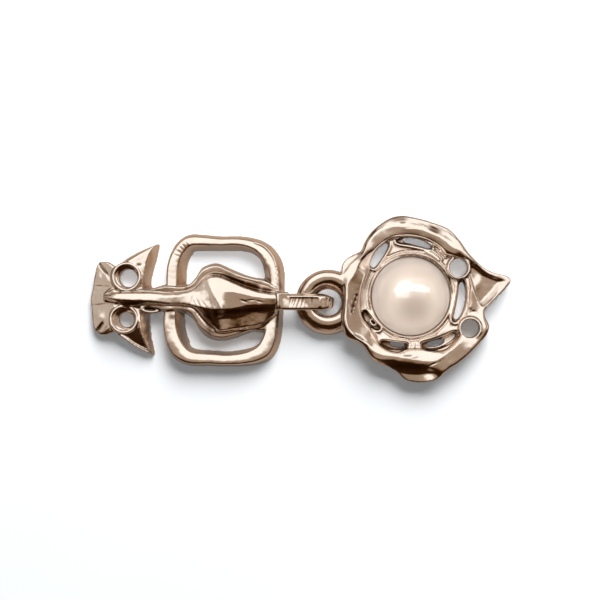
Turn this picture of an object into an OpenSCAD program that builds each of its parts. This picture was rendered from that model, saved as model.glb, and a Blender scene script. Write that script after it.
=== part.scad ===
// Hook-and-eye clasp in cast rose-coloured metal with a half-round pearl, shown fastened.
// Millimetres. +X runs from the tail to the spike, +Y across the clasp, +Z up out of the cloth.
// Both castings have flat backs at z = 0, and the origin lies under the middle of the clasp.

/* [Castings] */
// Thickness of the window frame
frame_h = 2.7; // [2.2:0.1:3.2]
// Height of the belly's crest above the flat back
belly_h = 4.9; // [4.6:0.1:5.6]
// Height of the highest petal crest
petal_h = 4.2; // [3.8:0.1:5]
// Height at which the fan's outer edge starts to rise
fan_edge_h = 0.5; // [0.3:0.1:1]

/* [Hook] */
// Width of the hook strip
strip_w = 2.6; // [2:0.1:3]
// Thickness of the hook strip
strip_t = 1.05; // [0.8:0.05:1.1]
// Running gap between the hook and the ring
hook_gap = 0.1; // [0.05:0.05:0.2]
// Lowest point of the hook above the flat back
hook_lift = 0.1; // [0:0.05:0.3]

/* [Ring] */
// Radius of the ring's hole
ring_hole_r = 2; // [1.9:0.1:2.2]
// Width of the ring's wire, seen from above
wire_w = 3; // [2.4:0.1:3.2]
// Height of the ring's wire
wire_h = 2; // [1.6:0.1:2.2]

/* [Pearl] */
// Radius of the pearl
pearl_r = 6; // [5:0.1:6]
// Height of the pearl's dome above its girdle
dome_h = 4.6; // [3:0.1:5]
// Glue gap round the pearl
glue_gap = 0.08; // [0.05:0.01:0.15]
// Width of the cup's rim
cup_rim_w = 0.55; // [0.4:0.05:0.8]
// Height of the cup's rim
cup_rim_h = 2.3; // [2:0.1:2.8]
// Thickness of the cup's floor
cup_floor = 0.8; // [0.6:0.1:1]

/* [Sewing holes] */
// Radius of the holes in the eye half
eye_hole_r = 1.4; // [1:0.05:1.5]
// Width of the raised collar round each of them
collar_w = 0.4; // [0.2:0.05:0.5]
// Radius of the upper fin's hole
upper_hole_r = 1.4; // [1:0.05:1.5]
// Radius of the lower fin's hole
lower_hole_r = 1.2; // [1:0.05:1.4]
// How much wider the mouth of a fin's hole is
mouth = 0.35; // [0.1:0.05:0.5]

/* [Hidden] */

metal = [0.74, 0.6, 0.5];
cream = [0.92, 0.85, 0.78];
$fn = 48;

// Centres of the pearl, the ring, the clasp's axis and the sewing holes
pearl_at = [16.85, 0.45];
ring_at = [4.2, -0.4];
upper_hole_at = [-26.35, 3.35];
lower_hole_at = [-26.7, -3.15];
eye_holes = [
  // x, y, height of the collar round it
  [24.15, 4.8, 2.9],
  [25.9, -4.45, 3.3]
];

// The ring's wire lies level between the two limbs of the hook
wire_z = hook_lift + strip_t + hook_gap + wire_h / 2;
ring_r = ring_hole_r + wire_w / 2;
strip_top = wire_z + wire_h / 2 + hook_gap + strip_t;

// Window frame, clockwise from the left rail. Outer edge x, y, then measured inwards:
// the outer wall's slope, the level face, the inner wall's slope
frame_rows = [
  // x, y, outer wall, face, inner wall
  [-20.8, 0.4, 0.25, 1.5, 1.4],
  [-20.65, 2.5, 0.25, 1.5, 1.4],
  [-20.5, 5.1, 0.25, 1.5, 1.4],
  [-19.8, 7.4, 0.35, 1.4, 1.3],
  [-18.6, 9.1, 0.45, 1.4, 1.2],
  [-17, 9.95, 0.5, 1.3, 1],
  [-15, 9.95, 0.5, 1.2, 0.9],
  [-12.1, 9.7, 0.5, 1, 0.85],
  [-9.1, 9.7, 0.5, 1, 0.85],
  [-6.5, 9.25, 0.65, 1.2, 0.6],
  [-4.5, 8.2, 0.85, 1.5, 0.4],
  [-3.1, 6.5, 1.05, 1.5, 0.5],
  [-2.45, 4.6, 1.1, 1.3, 0.8],
  [-2.4, 2.2, 1, 1.15, 0.9],
  [-2.4, -0.1, 1, 1.2, 0.9],
  [-2.6, -2.4, 1.1, 1.4, 0.3],
  [-2.75, -4.8, 1.1, 1.5, 0.2],
  [-3.15, -6.9, 0.95, 1.8, 0.15],
  [-4.2, -8.9, 0.85, 2, 0.2],
  [-5.9, -9.9, 0.7, 1.9, 0.35],
  [-8.1, -10.3, 0.55, 1.6, 0.55],
  [-10.9, -10.4, 0.45, 1.4, 0.6],
  [-13.9, -10.3, 0.45, 1.45, 0.6],
  [-16.7, -10.25, 0.4, 1.7, 0.65],
  [-18.7, -9.6, 0.4, 2, 0.9],
  [-20, -8.3, 0.35, 2.1, 1.1],
  [-20.75, -6.3, 0.3, 1.9, 1.3],
  [-21.1, -4.1, 0.25, 1.8, 1.4],
  [-21, -1.8, 0.25, 1.65, 1.4]
];

// Spine and belly: cross-sections along x. Each pair is y, z of one line that runs the whole way:
// foot of the upper wall, upper lip, groove, crest, lower edge of the crest's facet, lower groove,
// lower lip, and the foot of the lower wall
body_rows = [
  // x, foot y, lip y z, groove y z, crest y z, facet y z, groove y z, lip y z, foot y
  [-30, 0.8, 0.75, 2, 0.6, 2, 0.45, 2.3, 0.3, 2.3, 0.1, 2, -0.1, 2, -0.2],
  [-29.3, 1.6, 1.3, 2.3, 1, 2.3, 0.7, 2.9, 0.2, 2.9, -0.2, 2.2, -0.8, 2.2, -1.1],
  [-26.3, 1.8, 1.5, 2.4, 1.1, 2.4, 0.8, 3.3, 0.05, 3.3, -0.6, 1.9, -1, 2.2, -1.3],
  [-23.2, 1.7, 1.4, 2.5, 1.05, 2.4, 0.7, 3.5, -0.1, 3.4, -0.7, 2.3, -1, 2.4, -1.7],
  [-20.4, 2.3, 1.9, 2.8, 0.9, 2.6, 0.55, 3.6, -0.3, 3.4, -0.8, 2.5, -1.2, 2.8, -1.8],
  [-17.8, 2.2, 1.8, 2.9, 1.1, 2.7, 0.8, 3.7, -0.45, 3.4, -0.9, 2.6, -1.3, 2.9, -1.9],
  [-16.3, 3.4, 2.8, 3, 1.55, 2.8, 0.95, 3.9, -0.6, 3.6, -1.35, 2.4, -1.9, 2.8, -3.35],
  [-14.7, 5.05, 4.4, 3.1, 3.1, 2.7, 1.25, 4.4, -1.2, 4.1, -2.9, 1.9, -4.3, 2.7, -5.5],
  [-13.2, 5.5, 4.8, 3.1, 3.65, 2.5, 1.4, 4.75, -1.65, 4.4, -3.95, 1.6, -5.35, 2.6, -6.3],
  [-11.6, 5.1, 4.5, 3.1, 3.4, 2.5, 1.35, 4.9, -1.65, 4.6, -4.1, 1.6, -5.2, 2.6, -6.3],
  [-9.3, 4.1, 3.5, 3, 2.65, 2.3, 1.1, 4.8, -1.35, 4.6, -3.8, 1.8, -4.6, 2.5, -5.8],
  [-7, 3.35, 2.95, 2.9, 1.7, 2.1, 0.5, 4.7, -0.95, 4.5, -2.9, 2, -4.3, 2.5, -5.1],
  [-5, 2.8, 2.35, 2.8, 1.1, 2.3, 0.25, 4.6, -0.9, 4.4, -2.1, 2.2, -3.1, 2.6, -4.3],
  [-3.6, 1.7, 1.5, 2.6, 0.85, 2.6, 0.3, 4.4, -0.8, 4.3, -1.6, 2.6, -2, 2.6, -2.2]
];

// Fins: cross-sections in order of y.
// Left foot, left edge, right edge and right foot in x, and the height of the face
upper_fin_rows = [
  // y, left foot, left edge, right edge, right foot, height
  [0.6, -29.5, -29.3, -24.2, -22.6, 2.3],
  [2.5, -29.4, -29.1, -24.1, -22.85, 2.5],
  [3.6, -29.2, -28.9, -23.9, -22.7, 2.6],
  [4.6, -28.8, -28.4, -23.75, -22.45, 2.6],
  [5.6, -27.6, -27.2, -23.6, -22.15, 2.6],
  [6.7, -26, -25.4, -23.2, -21.85, 2.6],
  [7.6, -24.2, -23.6, -22.7, -21.7, 2.5],
  [8.2, -22.6, -22.4, -22.1, -21.6, 2.4],
  [8.45, -21.9, -21.85, -21.8, -21.7, 2.2]
];
lower_fin_rows = [
  // y, left foot, left edge, right edge, right foot, height
  [-8.5, -22.8, -22.7, -22.5, -22.4, 1.6],
  [-8.3, -23.4, -23.1, -22.8, -22.3, 1.8],
  [-7.6, -24.7, -24.1, -23.2, -22.45, 2],
  [-6.7, -26.3, -25.6, -23.8, -22.65, 2.2],
  [-5.6, -27.7, -27.3, -24.25, -22.85, 2.4],
  [-4.4, -29, -28.7, -24.55, -22.95, 2.5],
  [-3.2, -29.4, -29.2, -24.7, -23.1, 2.5],
  [-2.1, -29.5, -29.3, -24.6, -23, 2.4],
  [-0.3, -29.5, -29.3, -24.4, -22.7, 2.3]
];

// Tail fan: cross-sections from the lower lobe to the upper one
fan_rows = [
  // y, outer edge x, crest x, crest height
  [-5.45, -30.6, -30, 1.7],
  [-4.95, -31.3, -29.3, 2.1],
  [-4.3, -31.7, -29, 2.3],
  [-3.2, -31.9, -29.2, 2.4],
  [-1.65, -32, -29.5, 2.4],
  [-0.05, -32.15, -29.7, 2.5],
  [1.4, -31.9, -29.5, 2.4],
  [2.95, -31.65, -29.2, 2.4],
  [4.2, -31.4, -29, 2.4],
  [5.1, -31.2, -29.2, 2.3],
  [5.75, -30.7, -30.1, 1.9]
];

// Petals: lines that run round the pearl, by the angle at its centre
rim_line = [
  // angle, radius of the outline
  [0, 13.3], [5, 14.6], [9, 15.5], [12, 15], [15, 13.5], [20, 12.2], [25, 11.6], [37, 11], [50, 11.35],
  [60, 11.7], [75, 11.7], [88, 12], [97, 12.35], [105, 12.3], [113, 11.95], [122, 11.5], [130, 10.9],
  [138, 10.3], [145, 10.9], [150, 11.35], [155, 11.5], [161, 11.2], [170, 10.45], [180, 10.1],
  [188, 10.3], [194, 10.8], [201, 11.2], [211, 11.65], [220, 10.85], [225, 10.55], [230, 10.7],
  [239, 11.3], [254, 11.4], [260, 11.8], [267, 12.85], [273, 13.15], [288, 13.2], [292, 12.9],
  [296, 12.6], [305, 12.5], [327, 12.75], [334, 13], [340, 12.7], [344, 11.85], [348, 11.45],
  [352, 11.8], [356, 12.5], [360, 13.3]
];
crest_line = [
  // angle, radius of the petals' crest, share of the petals' full height
  [0, 10.4, 0.75], [20, 10.4, 0.72], [37, 10.2, 0.8], [50, 9.7, 0.9], [60, 9.9, 0.95], [75, 10, 0.95],
  [90, 10.2, 0.95], [100, 11, 1], [112, 11.2, 1], [122, 11, 1], [130, 10.3, 0.97], [140, 9.5, 0.93],
  [150, 9.2, 0.95], [160, 9.3, 0.97], [170, 9.9, 1], [180, 9.8, 1], [190, 10, 1], [200, 10.8, 1],
  [211, 11.2, 0.95], [225, 10.2, 0.9], [235, 10.4, 0.9], [250, 9.6, 0.95], [260, 9.5, 0.97],
  [270, 9.7, 1], [280, 10.1, 1], [290, 10.4, 0.97], [300, 10.1, 0.95], [320, 9.9, 0.85],
  [340, 10.4, 0.78], [360, 10.4, 0.75]
];
foot_line = [
  // angle, radius and height of the foot of the petals' inner slope
  [0, 8.7, 2.8], [35, 9.3, 2.6], [50, 8.9, 2.4], [75, 9, 2.3], [100, 9.5, 2.3], [125, 9.2, 2.3],
  [145, 8.1, 2.4], [165, 8.2, 3], [190, 8.2, 3.2], [215, 8, 3], [240, 8.9, 2.4], [265, 8.5, 2.4],
  [300, 9.2, 2.4], [325, 9.3, 2.6], [345, 8.9, 2.8], [360, 8.7, 2.8]
];
dip_line = [
  // angle, radius and height of the hollow between the crest and the outline
  [0, 12.4, 2.6], [12, 12.6, 2.2], [20, 11.3, 1.9], [37, 10.7, 2.9], [60, 10.9, 3.7], [90, 11.2, 3.7],
  [112, 11.6, 3.8], [140, 9.9, 3.6], [160, 10.4, 3.7], [180, 9.95, 3.9], [200, 11, 3.9], [211, 11.4, 3.4],
  [225, 10.4, 3.4], [240, 10.9, 2.4], [255, 10.9, 1.7], [270, 11.7, 1.5], [284, 11.9, 1.7],
  [292, 11.9, 2.7], [320, 11.8, 2.6], [340, 11.8, 2.4], [360, 12.4, 2.6]
];
edge_line = [
  // angle, height of the outline's upper and lower edges
  [0, 2, 0.7], [10, 1.6, 0.6], [25, 2.4, 0.8], [60, 3, 1], [100, 3.2, 1.1], [140, 3, 0.9],
  [180, 3.5, 0.6], [211, 2.8, 0.5], [240, 2, 0.3], [275, 2, 0.3], [300, 1.9, 0.3], [340, 2, 0.5],
  [360, 2, 0.7]
];

// Slots between the cup and the petals: angle and radius at both ends, bulge, half width, floor
slots = [
  // start, end, radius at start, radius in the middle, radius at end, half width, floor
  [112.5, 143, 8.75, 7.95, 7.45, 0.78, -1],
  [67, 106, 8.15, 8.05, 8.95, 0.55, -1],
  [-31, 20.5, 7.6, 7.75, 8.1, 0.85, -1],
  [-78, -37, 7, 7.95, 8.6, 0.8, -1],
  [235, 268, 8.3, 7.7, 7.65, 0.72, -1],
  [196.4, 225.8, 7.3, 7.1, 6.85, 0.5, 1.2]
];
slot_steps = 12;

function mix(a, b, t) = a + (b - a) * t;

// A smooth curve through four rows, between the second and the third
function smooth(a, b, c, d, t) =
  (2 * b + (c - a) * t + (2 * a - 5 * b + 4 * c - d) * t * t + (3 * b - a - 3 * c + d) * t * t * t) / 2;

// Rows with steps - 1 smooth ones added between each pair
function fill_open(rows, steps) =
  let (last = len(rows) - 1)
  [for (i = [0:last - 1], k = [0:steps - 1])
    smooth(rows[max(i - 1, 0)], rows[i], rows[i + 1], rows[min(i + 2, last)], k / steps), rows[last]];
function fill_loop(rows, steps) =
  let (n = len(rows))
  [for (i = [0:n - 1], k = [0:steps - 1])
    smooth(rows[(i + n - 1) % n], rows[i], rows[(i + 1) % n], rows[(i + 2) % n], k / steps)];

// Value of a line's column at an angle
function line_at(line, column, angle) = lookup(angle, [for (row = line) [row[0], row[column]]]);

function flat_point(p, z) = [p[0], p[1], z];
function round_pearl(angle, r, z) = [pearl_at[0] + r * cos(angle), pearl_at[1] + r * sin(angle), z];

// Skin through a list of sections with the same number of points each. Seen looking along the list,
// the points of a section run clockwise. A loop has its last section joined to its first, and an
// open skin has its ends closed
module skin(sections, loop = false) {
  count = len(sections);
  across = len(sections[0]);
  spans = loop ? count : count - 1;
  sides = [for (i = [0:spans - 1], j = [0:across - 1])
    let (a = i * across + j, b = i * across + (j + 1) % across)
    let (c = (i + 1) % count * across + (j + 1) % across, d = (i + 1) % count * across + j)
    each [[a, c, b], [a, d, c]]];
  ends = loop ? [] : [
    [for (j = [0:across - 1]) j],
    [for (j = [across - 1:-1:0]) (count - 1) * across + j]
  ];
  polyhedron([for (s = sections) each s], concat(sides, ends), convexity = 8);
}

module window_frame() {
  steps = 4;
  rows = fill_loop(frame_rows, steps);
  n = len(rows);
  sections = [for (i = [0:n - 1])
    let (along = rows[(i + steps) % n] - rows[(i + n - steps) % n], size = norm([along[0], along[1]]))
    let (inward = [along[1], -along[0]] / size, edge = [rows[i][0], rows[i][1]])
    let (top = edge + inward * rows[i][2], rim = top + inward * rows[i][3])
    [flat_point(edge, 0), flat_point(top, frame_h), flat_point(rim, frame_h),
      flat_point(rim + inward * rows[i][4], 0)]];
  skin(sections, loop = true);
}

module spine_and_belly() {
  crest_top = max([for (row = body_rows) row[7]]);
  skin([for (row = fill_open(body_rows, 3))
    let (x = row[0], lift = belly_h / crest_top)
    [[x, row[1], 0], [x, row[2], row[3]], [x, row[4], row[5]], [x, row[6], row[7] * lift],
      [x, row[8], row[9] * lift], [x, row[10], row[11]], [x, row[12], row[13]], [x, row[14], 0]]]);
}

module fin(rows) {
  skin([for (row = fill_open(rows, 2))
    [[row[1], row[0], 0], [row[2], row[0], row[5]], [row[3], row[0], row[5]], [row[4], row[0], 0]]]);
}

module tail_fan() {
  skin([for (row = fill_open(fan_rows, 2))
    let (root = row[2] + 0.4)
    [[row[1], row[0], 0], [row[1], row[0], fan_edge_h], [row[2], row[0], row[3]],
      [root, row[0], row[3]], [root, row[0], 0]]]);
}

// The strip leaves the belly, passes over the ring, turns down through its hole and back below it
module hook() {
  root_x = -4;
  turn_r = (strip_top - hook_lift) / 2;
  turn_x = ring_at[0] + 0.8 - turn_r;
  point_x = -0.4;
  translate([0, ring_at[1] + strip_w / 2, 0])
    rotate([90, 0, 0])
      linear_extrude(strip_w) {
        translate([root_x, strip_top - strip_t]) square([turn_x - root_x, strip_t]);
        translate([point_x, hook_lift]) square([turn_x - point_x, strip_t]);
        translate([point_x, hook_lift + strip_t / 2]) circle(strip_t / 2);
        intersection() {
          translate([turn_x, hook_lift + turn_r])
            difference() {
              circle(turn_r);
              circle(turn_r - strip_t);
            }
          translate([turn_x, hook_lift]) square([turn_r + 1, turn_r * 2]);
        }
      }
}

// A fin's hole: a true bore with a wider, sloping mouth
module fin_hole(at, r) {
  translate([at[0], at[1], -1]) cylinder(r = r, h = frame_h + 4);
  translate([at[0], at[1], 1.3]) cylinder(r1 = r, r2 = r + mouth * 1.5, h = 2);
}

module hook_half() {
  color(metal)
    difference() {
      union() {
        resize([0, 0, belly_h]) {
          window_frame();
          spine_and_belly();
          fin(upper_fin_rows);
          fin(lower_fin_rows);
          tail_fan();
        }
        hook();
      }
      fin_hole(upper_hole_at, upper_hole_r);
      fin_hole(lower_hole_at, lower_hole_r);
    }
}

module petals() {
  inner_r = pearl_r + glue_gap + cup_rim_w / 2;
  ledge = [7, 2.1]; // outer radius and height of the level ring beside the cup
  outline = fill_open(rim_line, 2);
  skin([for (i = [0:len(outline) - 2])
    let (a = outline[i][0], rim = outline[i][1], crest = line_at(crest_line, 1, a))
    let (dip = min(line_at(dip_line, 1, a), rim - 0.1))
    [
      round_pearl(a, inner_r, 0),
      round_pearl(a, inner_r, ledge[1]),
      round_pearl(a, ledge[0], ledge[1]),
      round_pearl(a, line_at(foot_line, 1, a), line_at(foot_line, 2, a)),
      round_pearl(a, crest, petal_h * line_at(crest_line, 2, a)),
      round_pearl(a, max(dip, crest + 0.1), line_at(dip_line, 2, a)),
      round_pearl(a, rim, line_at(edge_line, 1, a)),
      round_pearl(a, rim, line_at(edge_line, 2, a)),
      round_pearl(a, rim - 1.5, 0)
    ]], loop = true);
}

// The right side of the ring lies inside the left petal
module ring() {
  translate([ring_at[0], ring_at[1], wire_z])
    rotate_extrude()
      translate([ring_r, 0])
        scale([wire_w / wire_h, 1]) circle(d = wire_h, $fn = 24);
}

// Turned a little, so that none of its facets' edges meets an edge of the petals
module cup() {
  inner_r = pearl_r + glue_gap;
  outer_r = inner_r + cup_rim_w;
  turn = 1.3;
  translate([pearl_at[0], pearl_at[1], 0])
    rotate(turn)
      rotate_extrude($fn = 72)
        polygon([[0, 0], [outer_r, 0], [outer_r, cup_rim_h], [inner_r, cup_rim_h],
          [inner_r, cup_floor], [0, cup_floor]]);
}

// A slot whose width swells from nothing at both ends
module slot(row) {
  middle = [for (k = [0:slot_steps])
    let (t = k / slot_steps)
    [mix(row[0], row[1], t), (1 - t) * (1 - 2 * t) * row[2] + 4 * t * (1 - t) * row[3]
      + t * (2 * t - 1) * row[4], row[5] * sqrt(sin(180 * t))]];
  outer = [for (m = middle) pearl_at + (m[1] + m[2]) * [cos(m[0]), sin(m[0])]];
  inner = [for (k = [slot_steps - 1:-1:1])
    pearl_at + (middle[k][1] - middle[k][2]) * [cos(middle[k][0]), sin(middle[k][0])]];
  translate([0, 0, row[6]]) linear_extrude(8) polygon(concat(outer, inner));
}

module hole_collar(row) {
  translate([row[0], row[1], 0]) cylinder(r = eye_hole_r + collar_w, h = row[2]);
}

module eye_hole(row) {
  translate([row[0], row[1], -1]) cylinder(r = eye_hole_r, h = petal_h + 2);
}

module eye_half() {
  color(metal)
    difference() {
      resize([0, 0, petal_h])
        difference() {
          union() {
            petals();
            ring();
            cup();
            for (row = eye_holes) hole_collar(row);
          }
          for (row = slots) slot(row);
        }
      for (row = eye_holes) eye_hole(row);
    }
}

// A button pearl: a shallow dome on a short girdle
module pearl() {
  seat_z = cup_floor + glue_gap;
  girdle_z = cup_rim_h - 0.2;
  dome_r = (pearl_r * pearl_r + dome_h * dome_h) / (2 * dome_h);
  color(cream)
    translate([pearl_at[0], pearl_at[1], seat_z]) {
      cylinder(r = pearl_r, h = girdle_z - seat_z);
      intersection() {
        translate([0, 0, girdle_z - seat_z + dome_h - dome_r]) sphere(dome_r, $fn = 96);
        translate([0, 0, girdle_z - seat_z - 0.01]) cylinder(r = pearl_r, h = dome_h + 1);
      }
    }
}

hook_half();
eye_half();
pearl();
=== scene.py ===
import math
import bpy
import bmesh
import numpy as np
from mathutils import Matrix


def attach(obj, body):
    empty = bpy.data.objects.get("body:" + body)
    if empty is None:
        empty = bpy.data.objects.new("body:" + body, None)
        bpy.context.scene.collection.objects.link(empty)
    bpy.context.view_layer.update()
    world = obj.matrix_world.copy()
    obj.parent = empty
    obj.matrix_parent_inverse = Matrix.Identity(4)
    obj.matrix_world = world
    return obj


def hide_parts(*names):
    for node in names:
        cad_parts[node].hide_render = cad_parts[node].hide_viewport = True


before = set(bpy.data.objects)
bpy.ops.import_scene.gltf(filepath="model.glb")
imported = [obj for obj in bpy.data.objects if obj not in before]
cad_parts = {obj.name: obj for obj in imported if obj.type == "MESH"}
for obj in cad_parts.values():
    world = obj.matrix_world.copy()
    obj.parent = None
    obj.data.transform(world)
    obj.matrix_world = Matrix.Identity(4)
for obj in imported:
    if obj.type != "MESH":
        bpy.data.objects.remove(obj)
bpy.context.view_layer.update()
mm = 0.001

# Tables are in millimetres: x from the tail to the spike, y across the clasp, z up from the cloth.
# Angles round the pearl are in degrees, from +X.
pearlAt = (16.85, 0.45)
ringAt = (4.2, -0.4)
# cutters reach from under the back to over the highest point
cutFrom, cutTo = -1, 8


# Curves and skins

def curveAt(knots, at, turn=None):
    # smooth curve through the knots of a table, whose first column is the place along it;
    # with a turn it comes back to its start after that much
    knots = np.array(knots, float)
    if turn:
        back = knots[-3:-1].copy()
        ahead = knots[1:3].copy()
        back[:, 0] -= turn
        ahead[:, 0] += turn
        knots = np.vstack([back, knots, ahead])
    t = knots[:, 0]
    v = knots[:, 1:]
    slope = np.gradient(v, t, axis=0)
    i = np.clip(np.searchsorted(t, at, side="right") - 1, 0, len(t) - 2)
    h = (t[i + 1] - t[i])[:, None]
    s = ((at - t[i]) / (t[i + 1] - t[i]))[:, None]
    return ((1 + 2 * s) * (1 - s) ** 2 * v[i] + s * (1 - s) ** 2 * h * slope[i]
            + s * s * (3 - 2 * s) * v[i + 1] + s * s * (s - 1) * h * slope[i + 1])


def smoothRows(rows, steps, closed=False):
    # Catmull-Rom rows between the ones of a table
    rows = np.array(rows, float)
    n = len(rows)
    out = []
    for i in range(n if closed else n - 1):
        if closed:
            a, b, c, d = (rows[(i + k) % n] for k in (-1, 0, 1, 2))
        else:
            a, b, c, d = (rows[min(max(i + k, 0), n - 1)] for k in (-1, 0, 1, 2))
        for k in range(steps):
            t = k / steps
            out.append((2 * b + (c - a) * t + (2 * a - 5 * b + 4 * c - d) * t * t
                        + (3 * b - a - 3 * c + d) * t ** 3) / 2)
    if not closed:
        out.append(rows[-1])
    return np.array(out)


def circle(x, y, radius, z):
    # level circle, a point every six degrees
    return [(x + radius * math.cos(a), y + radius * math.sin(a), z)
            for a in np.radians(np.arange(0, 360, 6))]


def roundPearl(angle, r, z):
    # the point at this angle and radius round the pearl's middle
    a = math.radians(angle)
    return (pearlAt[0] + r * math.cos(a), pearlAt[1] + r * math.sin(a), z)


def addSkin(bm, sections, closed=False):
    # skin through sections of equal length, ends capped unless it closes on itself
    rings = [[bm.verts.new(p) for p in section] for section in sections]
    pairs = list(zip(rings, rings[1:]))
    if closed:
        pairs.append((rings[-1], rings[0]))
    for a, b in pairs:
        for j in range(len(a)):
            k = (j + 1) % len(a)
            bm.faces.new((a[j], b[j], b[k], a[k]))
    if not closed:
        bm.faces.new(rings[0][::-1])
        bm.faces.new(rings[-1])


def addPost(bm, x, y, profile):
    # round post or collar: radius and height of each step
    addSkin(bm, [circle(x, y, r, z) for r, z in profile])


def addTube(bm, path, radius, closed=False):
    # round wire along a path that stays near level
    path = np.array(path, float)
    n = len(path)
    sections = []
    for i in range(n):
        ahead = path[(i + 1) % n if closed else min(i + 1, n - 1)]
        back = path[i - 1 if closed or i else 0]
        along = ahead - back
        side = np.array([-along[1], along[0], 0]) / max(np.hypot(along[0], along[1]), 1e-6)
        section = []
        for b in np.radians(np.arange(0, 360, 45)):
            section.append(path[i] + side * radius * math.cos(b) + np.array([0, 0, radius * math.sin(b)]))
        sections.append(section)
    addSkin(bm, sections, closed)


def addBoss(bm, x, y, length, width, height, rim, turn):
    # hollow oval boss with a round rim
    hollow = 0.4
    c, s = math.cos(math.radians(turn)), math.sin(math.radians(turn))
    outline = []
    for a in np.radians(np.arange(0, 360, 15)):
        along, across = length / 2 * math.cos(a), width / 2 * math.sin(a)
        outline.append((x + along * c - across * s, y + along * s + across * c))
    addSkin(bm, [[(px, py, z) for px, py in outline] for z in (0, height - hollow)])
    addTube(bm, [(px, py, height) for px, py in outline], rim, closed=True)


def addRing(bm, x, y, z, radius, section, tilt=0, shear=0, rounds=96):
    # ring of shaped wire that leans towards -Y by so many degrees, its crest pushed towards +Y by the shear
    lean = math.tan(math.radians(tilt))
    sections = []
    for a in np.radians(np.arange(rounds) * 360 / rounds):
        ring = []
        for out, up in section:
            r = radius + out
            ring.append((x + r * math.cos(a), y + r * math.sin(a) + up * shear,
                         z + up + r * math.sin(a) * lean))
        sections.append(ring)
    addSkin(bm, sections, closed=True)


def roundSection(radius, sides=12):
    return [(radius * math.cos(a), radius * math.sin(a)) for a in np.arange(sides) * 2 * math.pi / sides]


# From loose skins to a finished piece

def meshPiece(bm, name):
    bmesh.ops.recalc_face_normals(bm, faces=bm.faces)
    mesh = bpy.data.meshes.new(name)
    bm.to_mesh(mesh)
    bm.free()
    piece = bpy.data.objects.new(name, mesh)
    bpy.context.collection.objects.link(piece)
    return piece


def openMesh(piece):
    # for skins that come in later: closeMesh puts them into the piece
    bm = bmesh.new()
    bm.from_mesh(piece.data)
    return bm


def closeMesh(bm, piece):
    bm.to_mesh(piece.data)
    bm.free()


def applyAll(piece):
    # bake the modifiers into the mesh
    graph = bpy.context.evaluated_depsgraph_get()
    baked = bpy.data.meshes.new_from_object(piece.evaluated_get(graph))
    old = piece.data
    piece.modifiers.clear()
    piece.data = baked
    bpy.data.meshes.remove(old)


def fuse(piece, voxel):
    # one closed body from all the skins
    remesh = piece.modifiers.new("fuse", "REMESH")
    remesh.mode = "VOXEL"
    remesh.voxel_size = voxel
    applyAll(piece)


def makeDrill(holes):
    # cutter for round holes, each given by its steps from below: x, y, radius, z
    bm = bmesh.new()
    for steps in holes:
        addSkin(bm, [circle(*step) for step in steps])
    return meshPiece(bm, "drill")


def cutOut(piece, cutter):
    cut = piece.modifiers.new("cut", "BOOLEAN")
    cut.operation = "DIFFERENCE"
    cut.solver = "MANIFOLD"
    cut.object = cutter
    applyAll(piece)
    bpy.data.objects.remove(cutter)


def polish(piece, settings):
    # melt the edges, then hammer the surface a little, as a polished casting is
    smooth = piece.modifiers.new("melt", "SMOOTH")
    smooth.factor = 0.5
    smooth.iterations = settings["meltPasses"]
    for name, depth, size in settings["hammering"]:
        clouds = bpy.data.textures.new(name, "CLOUDS")
        clouds.noise_scale = size
        clouds.noise_depth = 1
        dent = piece.modifiers.new(name, "DISPLACE")
        dent.texture = clouds
        dent.texture_coords = "LOCAL"
        dent.strength = depth
        dent.mid_level = 0.5
    applyAll(piece)


def getPoints(piece):
    points = np.empty(len(piece.data.vertices) * 3)
    piece.data.vertices.foreach_get("co", points)
    return points.reshape(-1, 3)


def setPoints(piece, points):
    piece.data.vertices.foreach_set("co", points.ravel())
    piece.data.update()


def overPatch(points, x, y, length, width, turn):
    # where each point lies along and across an oval patch: 0 in its middle, 1 at its edge
    c, s = math.cos(math.radians(turn)), math.sin(math.radians(turn))
    dx, dy = points[:, 0] - x, points[:, 1] - y
    return (dx * c + dy * s) / (length / 2), (dy * c - dx * s) / (width / 2)


def press(piece, marks):
    # tool marks: soft dents and bumps on the upward faces, less on the steep ones
    points = getPoints(piece)
    normals = np.empty(len(points) * 3)
    piece.data.vertex_normals.foreach_get("vector", normals)
    upward = np.clip(normals.reshape(-1, 3)[:, 2] * 1.5, 0, 1)
    for *patch, lift in marks:
        along, across = overPatch(points, *patch)
        points[:, 2] += lift * upward * np.exp(-(along ** 2 + across ** 2))
    setPoints(piece, points)


def stainAndShade(piece, stainAndShadeRows):
    # dark patina and painted shade kept in the hollows and on dark slopes but not on the back, as an
    # attribute that the metal's finish reads
    lowest = 0.4
    points = getPoints(piece)
    dark = np.zeros(len(points))
    for *patch, strength in stainAndShadeRows:
        along, across = overPatch(points, *patch)
        dark = np.maximum(dark, strength * np.exp(-(along ** 4 + across ** 4)))
    dark[points[:, 2] < lowest] = 0
    patinaAndShade = piece.data.attributes.new("patinaAndShade", "FLOAT", "POINT")
    patinaAndShade.data.foreach_set("value", dark)


def lighten(piece, keep):
    light = piece.modifiers.new("lighten", "DECIMATE")
    light.ratio = keep
    applyAll(piece)


def finishPiece(piece, material, node):
    # real size, flat back, smooth shading, finish and place
    points = getPoints(piece)
    points[:, 2] = np.maximum(points[:, 2], 0)
    setPoints(piece, points * mm)
    piece.data.shade_smooth()
    piece.data.materials.clear()
    piece.data.materials.append(material)
    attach(piece, "root")
    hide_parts(node)


def finishCasting(piece, settings, marks, stainAndShadeRows, material, node):
    # what both castings get when their form is whole
    polish(piece, settings)
    press(piece, marks)
    whole = len(piece.data.polygons)
    lighten(piece, settings["keepFaces"])
    # patina and painted shade go into the attribute that the metal's finish reads
    stainAndShade(piece, stainAndShadeRows)
    finishPiece(piece, material, node)
    print(piece.name + ":", whole, "faces, lightened to", len(piece.data.polygons))


# Hook half: window frame, spine and belly, two fins, tail fan and the hook itself

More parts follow.
